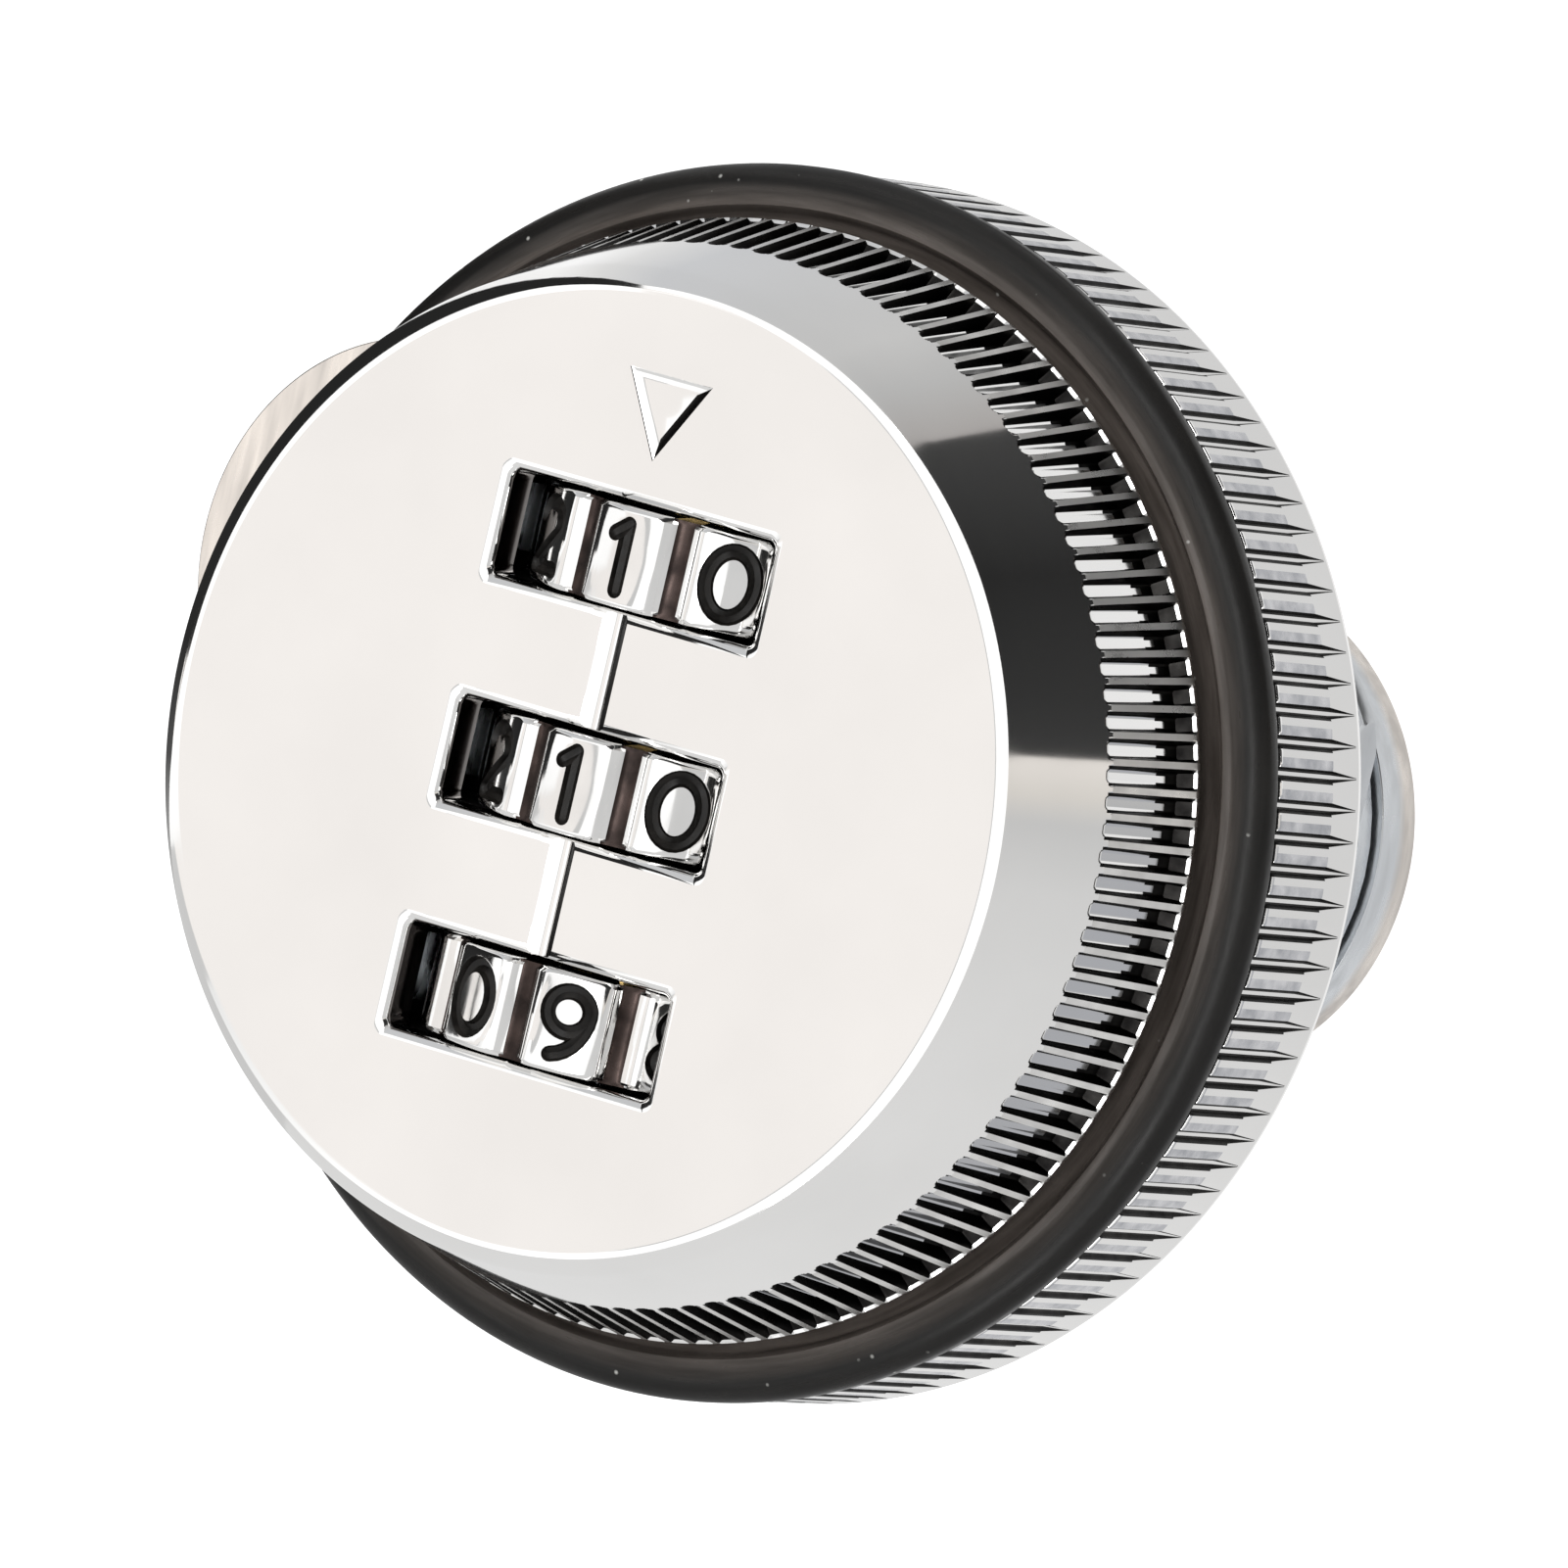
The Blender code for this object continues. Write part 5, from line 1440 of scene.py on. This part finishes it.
# %% Turn the barrel and its thread
BARREL_RADIUS = 9.5
BARREL_BORE = 4.9
CUP_BORE = 13.6
CUP_RADIUS = 16.4
THREAD_PITCH = 1.0
THREAD_DEPTH = 0.5
THREAD_STEPS = 8            # rings of points for one turn of the thread
THREAD_FADE = 0.8           # length over which it gets shallower at both ends
BEHIND_CUP = 1.4            # plain length before the thread starts
END_CHAMFER = 0.5
CUP_CHAMFER = 0.1
cup_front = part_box("threaded_barrel")[0].y / MM
cup_bottom = at(13.6)
cup_rear = at(14.6)
barrel_end = at(34.95)

outline = [(CUP_BORE, cup_front), (CUP_RADIUS - CUP_CHAMFER, cup_front),
           (CUP_RADIUS, cup_front + CUP_CHAMFER), (CUP_RADIUS, cup_rear), (BARREL_RADIUS, cup_rear)]
thread_start = cup_rear + BEHIND_CUP
turns_of_thread = int((barrel_end - END_CHAMFER - thread_start) / THREAD_PITCH)
for step in range(turns_of_thread * THREAD_STEPS + 1):
    outline.append((BARREL_RADIUS, thread_start + step * THREAD_PITCH / THREAD_STEPS))
outline += [(BARREL_RADIUS, barrel_end - END_CHAMFER), (BARREL_RADIUS - END_CHAMFER, barrel_end),
            (BARREL_BORE, barrel_end), (BARREL_BORE, cup_bottom), (CUP_BORE, cup_bottom)]
barrel = turned("barrel_casting", outline, 144, hollow=True)
thread_end = thread_start + turns_of_thread * THREAD_PITCH


def thread_groove(point):
    """The factor that cuts a V round the barrel, along a helix that fades at its ends."""
    place = point.y / MM
    radius = hypot(point.x, point.z) / MM
    if not thread_start < place < thread_end or radius < BARREL_RADIUS - 0.1:
        return 1
    phase = (place / THREAD_PITCH + atan2(point.z, point.x) / (2 * pi)) % 1
    fade = min(1, (place - thread_start) / THREAD_FADE, (thread_end - place) / THREAD_FADE)
    depth = THREAD_DEPTH * fade * min(1, max(0, 1.15 - 2.6 * abs(phase - 0.5)))
    return (radius - depth) / radius


print("groups of points pressed in:", press_in(barrel, thread_groove))

# %% Mill the flats and the bolt's notches
FLAT = 8.0                  # from the axis to a flat
FLAT_CUTTER = (3, 25, 22)   # its size; it starts at the rear of the cup
NOTCH_CUT, NOTCH_LENGTH, NOTCH_WIDTH = 1.7, 1.5, 6.2
NOTCH_RADIUS = 13.75        # middle of a notch, in the wall of the cup
NOTCH_DEPTH = 11.8          # behind the face

for side in (-1, 1):
    combine(barrel, block("flat_cutter", FLAT_CUTTER, (side * (FLAT + FLAT_CUTTER[0] / 2),
                                                       cup_rear + FLAT_CUTTER[1] / 2, 0)))
combine(barrel, block("locked_notch", (NOTCH_CUT, NOTCH_LENGTH, NOTCH_WIDTH),
                      (NOTCH_RADIUS, at(NOTCH_DEPTH), 0)))
combine(barrel, block("turned_notch", (NOTCH_WIDTH, NOTCH_LENGTH, NOTCH_CUT),
                      (0, at(NOTCH_DEPTH), -NOTCH_RADIUS)))
print("barrel milled:", len(barrel.data.polygons), "faces")

# %% Cut the stop lug from a ring and join it on
LUG_INNER, LUG_OUTER = 6.3, 8.7
LUG_HALF_SWING = 8          # degrees to each side of the top
LUG_OVERLAP = 0.3           # how deep it starts in the barrel
lug_end = at(35.75)

lug = turned("stop_lug", [(LUG_INNER, barrel_end - LUG_OVERLAP),
                          (LUG_OUTER, barrel_end - LUG_OVERLAP),
                          (LUG_OUTER, lug_end), (LUG_INNER, lug_end)], 90, hollow=True)
edit(lug)
for side in (-1, 1):
    swing = radians(90 + side * LUG_HALF_SWING)
    bpy.ops.mesh.select_all(action='SELECT')
    bpy.ops.mesh.bisect(plane_co=(0, 0, 0), plane_no=(-side * sin(swing), 0, side * cos(swing)),
                        use_fill=True, clear_outer=True)
close_up()
combine(barrel, lug, 'UNION')
barrel.data.materials.append(zinc)
polish(barrel, 40)
dress(barrel, "barrel", "zinc", "threaded_barrel")
print("barrel with", turns_of_thread, "turns of thread")

# %% [markdown]
# ## The nuts
# A nut is a hexagonal bar, turned round at its corners. We make it the same way:
# a six-sided block, and a double cone that trims its corners by an intersection.

# %% A nut with trimmed corners
NUT_SIDES = 96              # of the round cutters
RIM_INSET = 0.15            # of the round rim of a nut's face, from its flats
HOLE_CHAMFER = 0.35         # how much wider the mouth of the hole is
MOUTH_DEPTH = 0.3
PAST = 0.05                 # how far the hole's cutter sticks out


def hexagonal(name, across_flats, front, rear, bore, chamfer, material):
    """A hexagonal nut about the Y axis, in mm, with trimmed corners and a hole."""
    corner = across_flats / sqrt(3)
    fresh()
    bpy.ops.mesh.primitive_cylinder_add(
        vertices=6, radius=corner * MM, depth=(rear - front) * MM,
        location=(0, (front + rear) / 2 * MM, 0), rotation=(radians(90), 0, 0))
    nut = bpy.context.object
    nut.name = name
    bpy.ops.object.transform_apply(location=True, rotation=True, scale=True)
    rim = across_flats / 2 - RIM_INSET
    trim_outline = [(rim, front - 0.01), (corner + 0.1, front + chamfer),
                    (corner + 0.1, rear - chamfer), (rim, rear + 0.01)]
    combine(nut, turned("corner_trim", trim_outline, NUT_SIDES), 'INTERSECT')
    hole = [(bore + HOLE_CHAMFER, front - PAST), (bore, front + MOUTH_DEPTH),
            (bore, rear - MOUTH_DEPTH), (bore + HOLE_CHAMFER, rear + PAST)]
    combine(nut, turned("nut_hole", hole, NUT_SIDES))
    nut.data.materials.append(material)
    polish(nut, 30)
    return nut


low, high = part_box("mounting_nut")
nut = hexagonal("door_nut", 2 * high.x / MM, low.y / MM, high.y / MM, 9.7, 1.1, zinc)
dress(nut, "barrel", "zinc", "mounting_nut")
low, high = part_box("cam_nut")
small_nut = hexagonal("cam_fixing_nut", 2 * high.x / MM, low.y / MM, high.y / MM, 2.7, 0.5, steel)
dress(small_nut, "knob", "steel", "cam_nut")
print("nuts made:", nut.name, small_nut.name)

# %% [markdown]
# ## The cam
# The cam is stamped from steel sheet and zinc-plated. Stamping rounds both edges,
# and more so the one where the punch enters. We start from a disc, draw one half
# of it out to the tip, and extrude it to the thickness of the sheet.

# %% Stamp the cam
low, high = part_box("cam")
cam_front, cam_rear = low.y / MM, high.y / MM
CAM_RADIUS = high.x / MM
CAM_REACH = -low.x / MM - CAM_RADIUS
SQUARE_HOLE = 6.4
CAM_TURN = radians(1.0)     # the play of the square hole lets the cam sit a touch high
CAM_EDGES = {cam_front: 0.06, cam_rear: 0.15}       # how far each edge is rounded
EDGE_STEPS = 6

fresh()
bpy.ops.mesh.primitive_circle_add(vertices=192, radius=CAM_RADIUS * MM, fill_type='NGON',
                                  location=(0, cam_rear * MM, 0), rotation=(radians(90), 0, 0))
cam = bpy.context.object
cam.name = "stamped_cam"
bpy.ops.object.transform_apply(location=True, rotation=True, scale=True)
edit(cam)
select_by(cam, lambda point: point.co.x < -0.01 * MM, 'VERT')
bpy.ops.transform.translate(value=(-CAM_REACH * MM, 0, 0))
bpy.ops.mesh.select_all(action='SELECT')
bpy.ops.mesh.extrude_region_move(
    TRANSFORM_OT_translate={"value": (0, (cam_front - cam_rear) * MM, 0)})
bpy.ops.mesh.select_all(action='SELECT')
bpy.ops.mesh.normals_make_consistent(inside=False)
for level, rounding in CAM_EDGES.items():
    select_by(cam, lambda edge: all(abs(v.co.y / MM - level) < 0.01 for v in edge.verts), 'EDGE')
    bpy.ops.mesh.bevel(offset=rounding * MM, segments=EDGE_STEPS, affect='EDGES')
pick(cam)
cam.rotation_euler.y = CAM_TURN
bpy.ops.object.transform_apply(location=False, rotation=True, scale=False)
combine(cam, block("cam_square", (SQUARE_HOLE, 4, SQUARE_HOLE),
                   (0, (cam_front + cam_rear) / 2, 0)))
cam.data.materials.append(steel)
polish(cam, 40)
weigh_normals(cam)
dress(cam, "knob", "steel", "cam")
print("cam reaches", round(CAM_REACH, 1), "mm to the middle of its tip")

# %% [markdown]
# ## The pieces that keep their measured shape
# The works inside are seen only through the windows and the gaps. Their solids
# are right as they are, so they only change their finish.

# %% Finish the inner pieces
def refinish(material, *nodes):
    """Swaps the material in the slots of measured solids."""
    for node in nodes:
        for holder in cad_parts[node].material_slots:
            holder.material = material


# the carrier takes the nearly black casting finish, painted shade inside the knob
refinish(dull_casting_shade, "wheel_carrier")
refinish(brass, "top_sleeve", "middle_sleeve", "bottom_sleeve")
refinish(steel, "wheel_axle", "locking_slide", "stop_washer", "lock_washer", "spindle",
         "carrier_screw_left", "carrier_screw_right", "top_detent_spring",
         "middle_detent_spring", "bottom_detent_spring")
print("inner pieces refinished")
